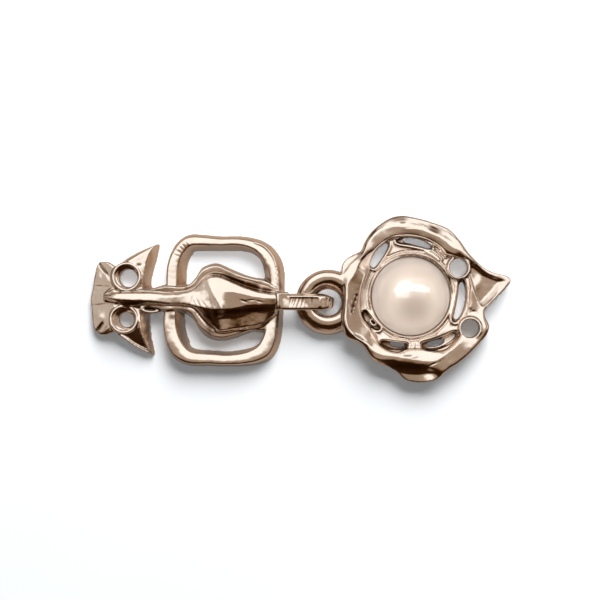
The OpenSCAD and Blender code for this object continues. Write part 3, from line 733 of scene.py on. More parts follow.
# lines that run round the pearl, from the foot of the inner wall out to the outline
petalLines = {
    # each knot is angle, radius, height
    "foot": [
        [0, 8.9, 2.3], [20, 9.3, 2.3], [35, 9.4, 2.3], [45, 8.6, 2.3], [50, 8.25, 2.3], [60, 8.6, 2.3],
        [70, 8.8, 2.3], [80, 8.95, 2.3], [90, 9.05, 2.3], [100, 9.2, 2.3], [107, 9.3, 2.3],
        [113, 9.15, 2.3], [120, 9.05, 2.3], [130, 8.65, 2.3], [137, 8.1, 2.3], [145, 7.6, 2.3],
        [155, 7.5, 2.3], [165, 7.5, 2.3], [180, 7.6, 2.3], [190, 7.7, 2.3], [200, 7.9, 2.3],
        [210, 7.95, 2.3], [220, 7.8, 2.3], [228, 7.9, 2.3], [235, 8.6, 2.3], [240, 8.85, 2.3],
        [250, 8.9, 2.3], [258, 8.7, 2.3], [265, 8.1, 2.3], [272, 8, 2.3], [280, 8.1, 2.3],
        [290, 8.8, 2.3], [300, 9.6, 2.3], [310, 9.7, 2.3], [320, 9.6, 2.3], [330, 9.2, 2.3],
        [340, 8.9, 2.3], [350, 8.9, 2.3], [360, 8.9, 2.3]],
    "bevel": [
        [0, 9, 2.7], [20, 9.4, 2.7], [35, 9.5, 2.9], [45, 8.65, 3.3], [50, 8.3, 3.35], [60, 8.65, 3.4],
        [70, 8.85, 3.4], [80, 9, 3.4], [90, 9.1, 3.4], [100, 9.25, 3.4], [107, 9.35, 3.4],
        [113, 9.2, 3.4], [120, 9.1, 3.5], [130, 8.7, 3.3], [137, 8.15, 2.9], [145, 7.7, 2.5],
        [155, 7.6, 2.9], [180, 7.7, 2.8], [200, 8, 2.6], [210, 8.05, 2.5], [220, 7.9, 2.55],
        [228, 8, 2.5], [235, 8.7, 2.9], [240, 8.9, 3.2], [250, 8.95, 3.4], [258, 8.75, 3.4],
        [265, 8.15, 3.1], [272, 8.05, 3.1], [280, 8.15, 3.1], [290, 8.85, 3.2], [300, 9.65, 3.3],
        [310, 9.75, 3.3], [320, 9.65, 3.2], [330, 9.3, 2.9], [340, 9, 2.7], [350, 9, 2.7], [360, 9, 2.7]],
    "brow": [
        [0, 9.3, 2.9], [10, 9.4, 3], [20, 9.6, 3.05], [35, 9.7, 3.3], [45, 9, 3.65], [50, 8.85, 3.7],
        [60, 8.85, 3.75], [70, 9.05, 3.75], [80, 9.2, 3.8], [90, 9.35, 3.8], [100, 9.5, 3.85],
        [107, 9.6, 3.85], [113, 9.45, 3.85], [120, 9.3, 3.8], [130, 8.95, 3.6], [137, 8.5, 3.2],
        [145, 8, 2.75], [155, 7.8, 3.19], [180, 7.9, 3.09], [200, 8.2, 2.83], [210, 8.25, 2.72],
        [220, 8.1, 2.81], [228, 8.3, 2.8], [235, 8.9, 3.3], [240, 9.05, 3.45], [250, 9.1, 3.6],
        [258, 8.9, 3.55], [265, 8.35, 3.35], [272, 8.25, 3.3], [280, 8.35, 3.35], [290, 9, 3.45],
        [300, 9.8, 3.5], [310, 9.9, 3.5], [320, 9.8, 3.4], [330, 9.5, 3.2], [338, 9.3, 2.75],
        [345, 9.3, 2.7], [352, 9.3, 2.8], [360, 9.3, 2.9]],
    "crest": [
        [0, 10, 2.95], [10, 10, 3.05], [20, 10.2, 3.15], [35, 10.2, 3.5], [45, 10.1, 3.8],
        [50, 9.8, 3.85], [60, 10, 3.9], [75, 10.2, 3.95], [90, 10.45, 4], [97, 10.7, 4], [103, 11, 4],
        [112, 11.15, 4], [120, 11, 4], [126, 10.6, 4], [132, 10.15, 4], [138, 9.75, 3.95],
        [145, 9.5, 3.95], [152, 9.35, 4], [160, 9.4, 4.05], [166, 9.75, 4.1], [172, 9.85, 4.1],
        [180, 9.85, 4.1], [190, 10.1, 4.1], [200, 10.65, 4.1], [208, 10.85, 4.05], [215, 10.5, 3.95],
        [222, 10.1, 3.85], [228, 9.9, 3.8], [235, 10.05, 3.8], [240, 9.95, 3.75], [246, 9.7, 3.75],
        [252, 9.45, 3.75], [258, 9.3, 3.75], [264, 9.3, 3.8], [270, 9.45, 3.8], [276, 9.7, 3.8],
        [284, 10.15, 3.8], [290, 10.4, 3.8], [300, 10.15, 3.75], [310, 10.1, 3.7], [320, 10.1, 3.55],
        [330, 10, 3.2], [338, 10, 2.8], [345, 10, 2.75], [352, 10, 2.85], [360, 10, 2.95]],
    "shoulder": [
        [0, 11.4, 2.8], [10, 11.6, 2.8], [20, 11.3, 2.9], [30, 10.8, 3.3], [37, 10.7, 3.5],
        [45, 10.8, 3.6], [60, 11.35, 3.6], [75, 11.4, 3.65], [90, 11.75, 3.65], [100, 12, 3.65],
        [110, 11.85, 3.65], [120, 11.35, 3.7], [130, 10.65, 3.8], [138, 10.1, 3.75], [145, 10.6, 3.55],
        [152, 11.1, 3.5], [160, 11, 3.55], [170, 10.25, 3.9], [180, 10, 4], [190, 10.25, 3.95],
        [200, 10.95, 3.9], [208, 11.15, 3.8], [215, 10.9, 3.65], [222, 10.4, 3.65], [228, 10.3, 3.6],
        [235, 10.8, 3.55], [240, 10.9, 3.6], [250, 10.35, 3.65], [255, 10.1, 3.65], [260, 10.1, 3.65],
        [265, 10.1, 3.65], [270, 10.2, 3.65], [275, 10.4, 3.65], [280, 10.7, 3.65], [285, 11.25, 3.6],
        [290, 11.9, 3.55], [300, 12.1, 3.5], [310, 12.1, 3.4], [320, 12.1, 3.3], [330, 12.1, 3.1],
        [338, 12, 3], [344, 11.3, 2.9], [350, 11, 2.8], [360, 11.4, 2.8]],
    "trough": [
        [0, 12.7, 2.7], [10, 14, 2.6], [20, 11.8, 2.8], [30, 11, 3.2], [37, 10.85, 3.4], [45, 11, 3.5],
        [60, 11.55, 3.5], [75, 11.6, 3.55], [90, 11.95, 3.55], [100, 12.2, 3.55], [110, 11.95, 3.55],
        [120, 11.5, 3.6], [130, 10.8, 3.7], [138, 10.2, 3.65], [145, 10.8, 3.45], [152, 11.25, 3.4],
        [160, 11.1, 3.45], [170, 10.35, 3.8], [180, 10.05, 3.9], [190, 10.35, 3.85], [200, 11.1, 3.75],
        [208, 11.4, 3.6], [215, 11.2, 3.4], [222, 10.6, 3.45], [228, 10.5, 3.45], [235, 11, 3.35],
        [240, 11.15, 3.3], [246, 11, 3.35], [252, 11, 3.15], [258, 11.3, 2.95], [264, 11.75, 2.85],
        [270, 11.9, 2.8], [276, 11.95, 2.8], [282, 12, 2.85], [286, 12.15, 3.05], [290, 12.5, 3.35],
        [300, 12.35, 3.4], [310, 12.35, 3.3], [320, 12.4, 3.2], [330, 12.5, 3], [338, 12.4, 2.9],
        [344, 11.6, 2.8], [350, 11.4, 2.7], [360, 12.7, 2.7]],
}
rimLine = [
    # angle, radius of the outline
    [0, 13.3], [5, 14.6], [9, 15.5], [12, 15], [15, 13.5], [20, 12.2], [25, 11.6], [37, 11], [50, 11.35],
    [60, 11.7], [75, 11.7], [88, 12], [97, 12.35], [105, 12.3], [113, 11.95], [122, 11.5], [130, 10.9],
    [138, 10.3], [145, 10.9], [150, 11.35], [155, 11.5], [161, 11.2], [170, 10.45], [180, 10.1],
    [188, 10.3], [194, 10.8], [201, 11.2], [211, 11.65], [220, 10.85], [225, 10.55], [230, 10.7],
    [239, 11.3], [254, 11.4], [260, 11.8], [267, 12.85], [273, 13.15], [288, 13.2], [292, 12.9],
    [296, 12.6], [305, 12.5], [327, 12.75], [334, 13], [340, 12.7], [344, 11.85], [348, 11.45],
    [352, 11.8], [356, 12.5], [360, 13.3],
]
edgeLine = [
    # angle, height of the outline's upper and lower edges
    [0, 2.6, 0.7], [10, 2.6, 0.6], [25, 2.9, 0.8], [60, 3.4, 1], [100, 3.45, 1.1], [140, 3.4, 0.9],
    [180, 3.75, 0.6], [211, 3.3, 0.5], [240, 3.1, 0.3], [255, 2.9, 0.3], [265, 2.75, 0.3],
    [277, 2.7, 0.3], [284, 3.05, 0.3], [290, 3.1, 0.3], [300, 3.2, 0.3], [340, 2.6, 0.5], [360, 2.6, 0.7],
]

# inner wall under the petals, beside the cup
innerWall = [
    # radius, height
    [6.3, 0], [6.3, 2], [6.75, 2], [7, 2.3],
]
# the pearl's cup, from its middle out over the rim and back to the seat
cupSection = [
    # radius, height
    [0.3, 0], [6.4, 0], [6.5, 2.2], [6.4, 2.32], [6.22, 2.32], [6.08, 2.2], [6.08, 0.8], [0.3, 0.8],
]

# slots between the cup and the petals: angle and radius at both ends and in the middle,
# half width at the top, draft of the walls, floor
slotPockets = [
    # start, end, radius at start, in the middle, at end, half width, draft, floor
    [112.5, 144, 8.75, 7.95, 7.4, 0.78, 0, 1.4],
    [66, 105, 8.05, 8.3, 8.7, 0.6, 0.1, 1.5],
    [-31, 19.5, 7.6, 7.75, 8.15, 0.85, 0.15, 1.4],
    [-79, -37, 7.7, 8.45, 8.95, 1, 0.4, 1.3],
    [236, 267.5, 8.35, 8, 7.55, 0.75, 0.3, 1.3],
    [197, 227, 7.45, 7.35, 6.95, 0.58, 0.1, 1.2],
]
slotHoles = [
    # start, end, radius at start, in the middle, at end, half width, draft, floor
    [113.5, 143, 8.7, 7.95, 7.45, 0.7, 0, cutFrom],
    [67.5, 98, 8.1, 8.35, 8.65, 0.5, 0, cutFrom],
    [-27, 15.5, 7.7, 7.8, 8.05, 0.62, 0, cutFrom],
    [-71, -53, 7.85, 8.15, 8.45, 0.45, 0, cutFrom],
    [246, 263, 7.8, 7.65, 7.5, 0.42, 0, cutFrom],
]
# thin ridges between the slots: x, y, z
petalRidges = [
    [[20.4, 8.2, 2.4], [21.4, 7.4, 2.4], [22.3, 6.4, 2.4]],
    [[20, 7.5, 2.4], [20.9, 6.8, 2.4], [21.7, 6, 2.4]],
    [[19, 7.3, 2.35], [20.2, 6.7, 2.35], [21.2, 5.9, 2.35]],
]

eyeHoles = [
    # x, y, collar height
    [24.15, 4.8, 3.1],
    [25.9, -4.45, 3.2],
]
# the sewing holes are a little wider at the mouth
holeMouth = [
    # how much wider, height
    [0, cutFrom], [0, 2.5], [0.05, 3.5], [0.1, 4.5], [0.1, cutTo],
]

# hollow on the spike: corners of its mouth and of its floor, x and y
spikeMouth = [[24.8, 6.4], [26.4, 5.65], [28.1, 4.4], [29.7, 3.55], [31.5, 3.05], [31.5, 2.6],
              [31, 1.8], [30.1, 0.85], [29.2, -0.05], [28.3, -0.9], [27.5, -0.9], [26.4, 1.5], [25.5, 4.2]]
spikeFloor = [[25.1, 5.6], [26.3, 4.8], [27.7, 3.75], [29, 3.15], [30, 2.8], [30.1, 2.55],
              [29.7, 1.95], [29, 1.1], [28.2, 0.3], [27.5, -0.5], [27.1, -0.5], [26.7, 1.5], [25.8, 4]]

# dents and bumps on the petals
eyeMarks = [
    # x, y, length, width, turn, lift
    # bump and scratches on the upper left petal
    [10.15, 6.9, 2.8, 1.3, 55, 0.28],
    [8.4, 6.2, 1.4, 0.18, 38, -0.05],
    [9.2, 6, 1.2, 0.18, 38, -0.05],
    [8.9, 7, 1, 0.18, 38, -0.05],
    [7, 4.6, 1.6, 0.2, 52, -0.06],
    [7.8, 5.6, 1.8, 0.2, 42, -0.06],
    # top petal
    [20.3, 10.6, 2.4, 0.8, -25, -0.2],
    [15.6, 11.9, 1.2, 0.6, 5, -0.15],
    [17.6, 11.6, 1.8, 0.25, -10, -0.04],
    [16.6, 10.9, 1.4, 0.25, 0, -0.04],
    [22.2, 9.5, 1.6, 0.3, -35, -0.06],
    [21.4, 10.7, 2.2, 0.2, -32, -0.06],
    [22.9, 9.9, 1.8, 0.2, -40, -0.06],
    # splatter on the left petal
    [8.05, -0.8, 1.4, 0.4, 74, -0.08],
    [8.3, 0, 1, 0.35, 66, -0.08],
    [8.2, -0.3, 0.6, 0.5, 0, -0.1],
    [7.95, -1.25, 0.6, 0.5, 0, -0.1],
    [8.45, 0.45, 0.4, 0.35, 0, -0.08],
    [7.8, -1.85, 0.5, 0.4, 80, -0.1],
    # lower petals
    [9, -5.8, 1.8, 0.4, -32, -0.15],
    [15.9, -8.7, 1.2, 0.25, 0, -0.08],
    [17.4, -8.9, 1, 0.2, 10, -0.06],
    [20.2, -9.9, 1.6, 0.25, 25, -0.06],
    # spike and right edge
    [27, 2.2, 2.3, 1.1, 80, 0.2],
    [26.4, -1.9, 0.5, 0.4, 0, -0.12],
]

# dark patina and painted shade in the hollows and on the dark slopes
eyeStainsAndShade = [
    # x, y, length, width, turn, strength
    # top petal
    [20.4, 10.6, 2.3, 0.9, -25, 0.9],
    [19.2, 11.1, 2.6, 0.35, -20, 0.6],
    [15, 12.2, 2.6, 0.8, 5, 0.8],
    [17.6, 11.4, 1.8, 0.25, -10, 0.5],
    [22.4, 9.3, 1.6, 0.25, -40, 0.5],
    [16.8, 10.4, 3, 0.3, -4, 0.35],
    [21.4, 10.7, 2.2, 0.25, -32, 0.5],
    [22.9, 9.9, 1.8, 0.25, -40, 0.5],
    [19.5, 11, 1.6, 0.2, -22, 0.5],
    # ledges of the upper slots
    [14.9, 9.2, 1, 0.7, 0, 0.5],
    [13.6, 9.2, 2, 0.6, 20, 0.8],
    [16.8, 10.05, 3.8, 0.35, -3, 0.5],
    [20.3, 9.1, 3, 0.35, -28, 0.5],
    [21.6, 9.7, 2.2, 0.2, -36, 0.6],
    # upper left petal and its inner wall: painted shade on the wall, patina in the scratches
    [10.1, 3.2, 4.5, 1.1, 78, 0.5],
    [10, 6.5, 3.6, 1.3, 60, 0.4],
    [7, 4.6, 1.6, 0.25, 52, 0.5],
    [7.8, 5.6, 1.8, 0.25, 42, 0.5],
    [8.5, 6.3, 1.4, 0.25, 38, 0.45],
    # splatter on the left petal
    [8.05, -0.8, 1.8, 0.6, 74, 1],
    [8.3, 0, 1.3, 0.5, 66, 1],
    [8.55, 0.75, 0.5, 0.3, 60, 0.9],
    [7.8, -1.85, 0.7, 0.45, 80, 1],
    [8.1, -0.6, 3.2, 1.2, 72, 0.35],
    # painted shade left of the cup and in the blind pocket
    [9.6, 0, 4.4, 0.6, 88, 0.45],
    [10.7, 0.6, 5, 0.4, 88, 0.4],
    [9.9, -2, 1, 0.8, -70, 0.8],
    [11.1, -3.55, 0.7, 0.3, -45, 1],
    # lower petals
    [9, -5.8, 1.9, 0.35, -32, 0.7],
    [16.6, -10.2, 6, 1.1, -4, 0.6],
    [15.8, -11.9, 4, 0.8, -8, 0.25],
    [20.5, -6.3, 4.2, 1.3, 27, 0.65],
    [13.8, -7, 3.2, 1, -8, 0.65],
    [16.1, -7.2, 1, 0.2, 90, 0.8],
    [17.5, -7.2, 1, 0.2, 90, 0.8],
    [16.3, -8.6, 1.3, 0.3, 0, 0.8],
    [17.4, -8.9, 1.2, 0.2, 15, 0.6],
    [21.4, -9.2, 1.3, 0.25, 35, 0.7],
    # right of the cup
    [22.7, 1.4, 3.4, 0.35, 84, 0.5],
    [23.3, -3.4, 1.6, 0.5, 60, 0.5],
    [24.3, 2.7, 0.9, 0.6, 80, 0.8],
    [25.9, -1.4, 0.5, 0.45, 0, 0.9],
]


def gapShadow():
    # painted shadow in the narrow gap beside the pearl, widest at its upper right
    radius, length, strength = 6.3, 1.5, 0.9
    rows = []
    for angle in range(10, 110, 10):
        x, y = roundPearl(angle, radius, 0)[:2]
        width = 0.5 - 0.2 * abs(angle - 60) / 50
        rows.append([x, y, length, width, angle + 90, strength])
    return rows


def addPetals(bm):
    angles = np.arange(0, 360, 1.0)
    rim = curveAt(rimLine, angles, 360)[:, 0]
    edge = curveAt(edgeLine, angles, 360)
    lines = [curveAt(knots, angles, 360) for knots in petalLines.values()]
    undercut = 1.5
    sections = []
    for i, a in enumerate(angles):
        # from the inner wall over the lines, which stay inside the outline, to the outer foot
        relief = list(innerWall)
        for line in lines:
            relief.append((min(line[i, 0], rim[i] - 0.05), line[i, 1]))
        relief += [(rim[i], edge[i, 0]), (rim[i], edge[i, 1]), (rim[i] - undercut, 0)]
        sections.append([roundPearl(a, r, z) for r, z in relief])
    addSkin(bm, sections, closed=True)


def addCup(bm):
    addSkin(bm, [[roundPearl(a, r, z) for r, z in cupSection] for a in range(0, 360, 3)], closed=True)
    middle = [(0.6, 0), (0.6, 0.8)]
    addPost(bm, *pearlAt, middle)


def slotOutline(row, grow, z, steps=16):
    # points round one slot, grown by that much: an oval that powers under 1 make squarer
    sidePower, endPower = 0.7, 0.9
    start, end, startR, middleR, endR, half = row[:6]
    middle = math.radians(end - start) * middleR / 2
    outline = []
    for k in range(steps * 2):
        turn = math.pi * (k + 0.5) / steps
        across = math.sin(turn)
        across = math.copysign(abs(across) ** sidePower, across) * (half + grow)
        along = math.cos(turn)
        t = 0.5 + math.copysign(abs(along) ** endPower, along) * 0.5 * (1 + grow / middle)
        r = (1 - t) * (1 - 2 * t) * startR + 4 * t * (1 - t) * middleR + t * (2 * t - 1) * endR
        outline.append(roundPearl(start + (end - start) * t, r + across, z))
    return outline


def makeSlotCutters(rows):
    slopeFrom, slopeTo = 1.6, 2.6
    bm = bmesh.new()
    for row in rows:
        draft, floor = row[6:]
        levels = [(floor, -draft), (slopeFrom, -draft), (slopeTo, 0), (cutTo, 0)]
        addSkin(bm, [slotOutline(row, grow, z) for z, grow in levels])
    return meshPiece(bm, "slot cutters")


def makeSpikeCutter():
    floorZ, mouthZ, tilt = 2.2, 2.72, 0.08
    mouth = smoothRows(spikeMouth, 3, closed=True)
    floor = smoothRows(spikeFloor, 3, closed=True)
    centre = floor.mean(axis=0)
    # from the middle of the floor to its edge, up to the mouth and on past the top
    levels = []
    for outline, z in ((centre + (floor - centre) * 0.3, floorZ), (floor, floorZ), (mouth, mouthZ),
                       (mouth + (mouth - floor) * 0.1, cutTo)):
        levels.append([(x, y, z + (y - centre[1]) * tilt) for x, y in outline])
    bm = bmesh.new()
    addSkin(bm, levels)
    return meshPiece(bm, "spike cutter")


def makeEyeHalf(material):
    voxel, collar = eyeHalf["voxel"], eyeHalf["collarRadius"]
    bm = bmesh.new()
    addPetals(bm)
    addCup(bm)
    addRing(bm, *ringAt, eyeHalf["ringZ"], eyeHalf["ringRadius"], ringSection, eyeHalf["ringTilt"],
            eyeHalf["ringShear"])
    piece = meshPiece(bm, "eye_half_casting")
    fuse(piece, voxel * 1.2)
    cutOut(piece, makeSpikeCutter())
    # rims, ridges and collars go over the fused form, before the slots and holes are cut
    bm = openMesh(piece)
    for row in slotPockets:
        rim = slotOutline(row, eyeHalf["rimInset"], eyeHalf["rimHeight"])
        addTube(bm, rim, eyeHalf["rimWire"], closed=True)
    for ridge in petalRidges:
        addTube(bm, smoothRows(ridge, 4), eyeHalf["ridgeWire"])
    holes = []
    for x, y, height in eyeHoles:
        addPost(bm, x, y, [(collar, 0), (collar, height - 0.15), (collar - 0.15, height)])
        holes.append([(x, y, eyeHalf["holeRadius"] + wider, z) for wider, z in holeMouth])
    closeMesh(bm, piece)
    fuse(piece, voxel)
    cutOut(piece, makeSlotCutters(slotPockets))
    cutOut(piece, makeSlotCutters(slotHoles))
    cutOut(piece, makeDrill(holes))
    # the curl stands in the blind pocket, so it comes after the cuts
    bm = openMesh(piece)
    addBoss(bm, **eyeHalf["curl"])
    closeMesh(bm, piece)
    fuse(piece, voxel)
    finishCasting(piece, eyeHalf, eyeMarks, eyeStainsAndShade + gapShadow(), material, "eye_half")
    return piece


# Pearl: a half-round dome on a short girdle

pearl = {
    "radius": 6,
    "domeHeight": 4.6,
    "seat": 0.88,  # height of its underside
    "girdle": 2.1,  # height where the dome starts
    "bevel": 0.15,
}


def makePearl(material):
    radius, dome, bevel = pearl["radius"], pearl["domeHeight"], pearl["bevel"]
    seat, girdle = pearl["seat"], pearl["girdle"]
    domeRadius = (radius ** 2 + dome ** 2) / (2 * dome)
    rim = math.asin(radius / domeRadius)
    profile = [(radius - bevel, seat), (radius, seat + bevel), (radius, girdle)]
    steps = 40
    for k in range(1, steps):
        a = rim * (1 - k / steps)
        profile.append((domeRadius * math.sin(a), girdle + dome - domeRadius * (1 - math.cos(a))))
    bm = bmesh.new()
    addSkin(bm, [[roundPearl(a, r, z) for a in range(0, 360, 4)] for r, z in profile])
    piece = meshPiece(bm, "pearl_dome")
    finishPiece(piece, material, "pearl")
    print("pearl_dome:", len(piece.data.polygons), "faces")
    return piece


# Finishes: tones are a place on the noise, from 0 to 1, and a colour

metalLook = {
    "noise": (350, 4),  # scale and detail
    "tones": [(0.35, (0.86, 0.74, 0.64, 1)), (0.65, (0.92, 0.8, 0.7, 1))],
    # brown of the patina and of the painted shade
    "patinaAndShade": (0.14, 0.07, 0.032, 1),
    "recessReach": 1.2,
    "recessShade": (0.3, 0.75),  # how open a place is where it is all painted shade, and where it is clean
    "roughness": (0.1, 0.2),
}

pearlLook = {
    "noise": (220, 3),
    "tones": [(0.3, (0.77, 0.645, 0.545, 1)), (0.7, (0.83, 0.705, 0.595, 1))],
    "shader": {
        "Roughness": 0.35,
        "Specular IOR Level": 0.3,
        "Subsurface Weight": 0.4,
        "Subsurface Radius": (1, 0.8, 0.7),
        "Subsurface Scale": 2 * mm,
        "Coat Weight": 1,
        "Coat IOR": 1.9,
        "Coat Roughness": 0.12,
    },
    "shadingAt": (0.3, -1.4, 6.4),  # centre of the painted shade, low on the dome's front: x and y from the pearl's middle, and height
}
# painted shade near that point, painted light towards the rim
pearlPaintedShading = [
    # from, to (distance from that point), share there and there, colour
    [0.5, 4.2, 0.95, 0, (0.48, 0.385, 0.32, 1)],
    [4.4, 8, 0, 0.95, (0.99, 0.85, 0.77, 1)],
]

floorLook = {
    "noise": (40, 2),
    "tones": [(0, (0.9, 0.92, 0.94, 1)), (1, (0.92, 0.94, 0.96, 1))],
    # painted shade: the dull brown the floor shows in the metal's reflections
    "shadeInReflections": (0.285, 0.2, 0.135, 1),
    # it glows a little: painted light that lifts the shadows on it
    "shader": {
        "Roughness": 0.9,
        "Specular IOR Level": 0,
        "Emission Color": (0.94, 0.97, 1, 1),
        "Emission Strength": 0.1,
    },
}


def newMaterial(name):
    material = bpy.data.materials.new(name)
    material.use_nodes = True
    tree = material.node_tree
    return material, tree, tree.nodes["Principled BSDF"]


def setSockets(shader, values):
    for name, value in values.items():
        shader.inputs[name].default_value = value


def mathNode(tree, operation, a, b):
    node = tree.nodes.new("ShaderNodeMath")
    node.operation = operation
    tree.links.new(a, node.inputs[0])
    if isinstance(b, (int, float)):
        node.inputs[1].default_value = b
    else:
        tree.links.new(b, node.inputs[1])
    return node.outputs[0]


def mapRange(tree, value, before, after, interpolation="LINEAR"):
    # a value taken from one range to another, each given by its ends
    change = tree.nodes.new("ShaderNodeMapRange")
    change.interpolation_type = interpolation
    setSockets(change, {"From Min": before[0], "From Max": before[1], "To Min": after[0], "To Max": after[1]})
    tree.links.new(value, change.inputs["Value"])
    return change.outputs["Result"]


def colourRamp(tree, place, stops):
    # each stop is a place from 0 to 1 and a colour
    ramp = tree.nodes.new("ShaderNodeValToRGB")
    elements = ramp.color_ramp.elements
    for i, (spot, colour) in enumerate(stops):
        element = elements[i] if i < 2 else elements.new(spot)
        element.position = spot
        element.color = colour
    tree.links.new(place, ramp.inputs["Fac"])
    return ramp.outputs["Color"]


def mixColours(tree, share, first, second):
    # first and second are each a fixed colour or another node's output
    mix = tree.nodes.new("ShaderNodeMix")
    mix.data_type = "RGBA"
    tree.links.new(share, mix.inputs["Factor"])
    for name, colour in (("A", first), ("B", second)):
        if isinstance(colour, tuple):
            mix.inputs[name].default_value = colour
        else:
            tree.links.new(colour, mix.inputs[name])
    return mix.outputs["Result"]


def mixShaders(tree, share, first, second):
    mix = tree.nodes.new("ShaderNodeMixShader")
    tree.links.new(share, mix.inputs["Fac"])
    tree.links.new(first, mix.inputs[1])
    tree.links.new(second, mix.inputs[2])
    return mix.outputs["Shader"]


def softNoise(tree, scale, detail):
    where = tree.nodes.new("ShaderNodeTexCoord")
    noise = tree.nodes.new("ShaderNodeTexNoise")
    setSockets(noise, {"Scale": scale, "Detail": detail})
    tree.links.new(where.outputs["Object"], noise.inputs["Vector"])
    return noise.outputs["Fac"]


def roseMetal():
    # polished plating, browner and duller in the recesses: painted shade from the ambient occlusion there,
    # and patina and painted shade where the stain tables put them
    material, tree, shader = newMaterial("rose metal")
    shader.inputs["Metallic"].default_value = 1
    noise = softNoise(tree, *metalLook["noise"])
    clean = colourRamp(tree, noise, metalLook["tones"])
    # painted shade: the base colour goes to the patina brown where little is open around a point
    recess = tree.nodes.new("ShaderNodeAmbientOcclusion")
    recess.samples = 8
    recess.only_local = True
    recess.inputs["Distance"].default_value = metalLook["recessReach"] * mm
    openShare = mapRange(tree, recess.outputs["AO"], metalLook["recessShade"], (0, 1))
    patinaAndShade = tree.nodes.new("ShaderNodeAttribute")
    patinaAndShade.attribute_name = "patinaAndShade"
    bare = mathNode(tree, "SUBTRACT", openShare, patinaAndShade.outputs["Fac"])
    bare.node.use_clamp = True
    tree.links.new(mixColours(tree, bare, metalLook["patinaAndShade"], clean), shader.inputs["Base Color"])
    rough = mapRange(tree, noise, (0, 1), metalLook["roughness"])
    tree.links.new(rough, shader.inputs["Roughness"])
    return material


def pearlLacquer():
    # painted shade darkens the body colour below the middle, and painted light pales it to the rim
    material, tree, shader = newMaterial("pearl lacquer")
    setSockets(shader, pearlLook["shader"])
    noise = softNoise(tree, *pearlLook["noise"])
    colour = colourRamp(tree, noise, pearlLook["tones"])
    x, y, z = pearlLook["shadingAt"]
    where = tree.nodes.new("ShaderNodeTexCoord")
    offset = tree.nodes.new("ShaderNodeVectorMath")
    offset.operation = "DISTANCE"
    offset.inputs[1].default_value = ((pearlAt[0] + x) * mm, (pearlAt[1] + y) * mm, z * mm)
    tree.links.new(where.outputs["Object"], offset.inputs[0])
    # painted shade near the point, painted light towards the rim
    for near, far, nearShare, farShare, tone in pearlPaintedShading:
        depth = mapRange(tree, offset.outputs["Value"], (near * mm, far * mm), (nearShare, farShare),
                         "SMOOTHSTEP")
        colour = mixColours(tree, depth, colour, tone)
    tree.links.new(colour, shader.inputs["Base Color"])
    return material


def paleFloor():
    # white to the camera and to the light, with painted shade where the metal reflects it, as a floor in the
    # shade of the lights is
    material, tree, shader = newMaterial("pale floor")
    setSockets(shader, floorLook["shader"])
    noise = softNoise(tree, *floorLook["noise"])
    tint = colourRamp(tree, noise, floorLook["tones"])
    # painted shade: glossy rays see the floor in a dull brown
    path = tree.nodes.new("ShaderNodeLightPath")
    seen = mixColours(tree, path.outputs["Is Glossy Ray"], tint, floorLook["shadeInReflections"])
    tree.links.new(seen, shader.inputs["Base Color"])
    # clear from below, so that the back of the clasp can be looked at
    side = tree.nodes.new("ShaderNodeNewGeometry")
    clear = tree.nodes.new("ShaderNodeBsdfTransparent")
    back = side.outputs["Backfacing"]
    sheet = mixShaders(tree, back, shader.outputs["BSDF"], clear.outputs["BSDF"])
    tree.links.new(sheet, tree.nodes["Material Output"].inputs["Surface"])
    return material


# Studio: floor, lamps, room and camera

studio = {
    "floorSize": 4,  # metres
    "floorDrop": 0.02,  # the floor lies this far below the backs, so that the two don't flicker
    "keyLamp": {"at": (170, 540, 450), "size": (540, 540), "brightness": 10.1},
    "floorLamp": {"at": (0, 6, 20), "size": (66, 14), "brightness": 0.26},
    "floorLampSpread": 20,
    "pearlLamp": {"at": (20, 0, 300), "size": (480, 480), "brightness": 2.55},
    "pearlStrip": {"at": (70, 128, 270), "size": (740, 115), "brightness": 3.2},
    "pearlCorner": {"at": (-126, 128, 262), "size": (236, 300), "brightness": 1.9},
    "fillColour": (0.96, 0.97, 0.97, 1),
    "fillBrightness": 0.165,
    "boxColour": (0.86, 0.94, 1, 1),
    "boxBrightness": 0.97,
    "backdrop": (0.95, 0.95, 0.95, 1),
    "cameraHeight": 340,
    "cameraAim": (-0.08, -0.12),
    "photoWidth": 92.3,  # how much of the floor the picture shows
    "sensorWidth": 36,
}

# how bright the room is by its angle from overhead, towards +Y and towards +X
roomAcross = [
    # angle, brightness
    [-90, 0.4], [-84, 0.3], [-79, 0.02], [-33, 0.02], [-20, 0.38], [40, 0.38], [60, 0.45], [72, 0.4],
    [76, 0.05], [82, 0.05], [86, 0.5], [90, 0.6],
]
roomAlong = [
    # angle, share
    [-90, 0.5], [-86, 0.4], [-82, 0.15], [-68, 0.15], [-62, 1.4], [-44, 1.4], [-36, 1], [48, 0.95], [62, 0.9],
    [65, 2], [72, 2], [76, 0.15], [86, 0.15], [90, 0.5],
]
# its dark parts are brown, its bright parts neutral
roomTint = [
    # brightness, colour
    [0, (0.01, 0.002, 0.001, 1)],
    [0.05, (0.052, 0.02, 0.005, 1)],
    [0.1, (0.11, 0.054, 0.018, 1)],
    [0.27, (0.285, 0.196, 0.13, 1)],
    [0.4, (0.41, 0.33, 0.265, 1)],
    [0.66, (0.66, 0.62, 0.58, 1)],
    [1, (1, 1, 1, 1)],
]
# the soft box over it: where it starts and ends, with soft edges
boxAcross = [
    # angle, share
    [-90, 0], [-7, 0], [0, 1], [50, 1], [57, 0], [90, 0],
]
boxAlong = [
    # angle, share
    [-90, 0], [-44, 0], [-36, 1], [38, 1], [46, 0], [90, 0],
]


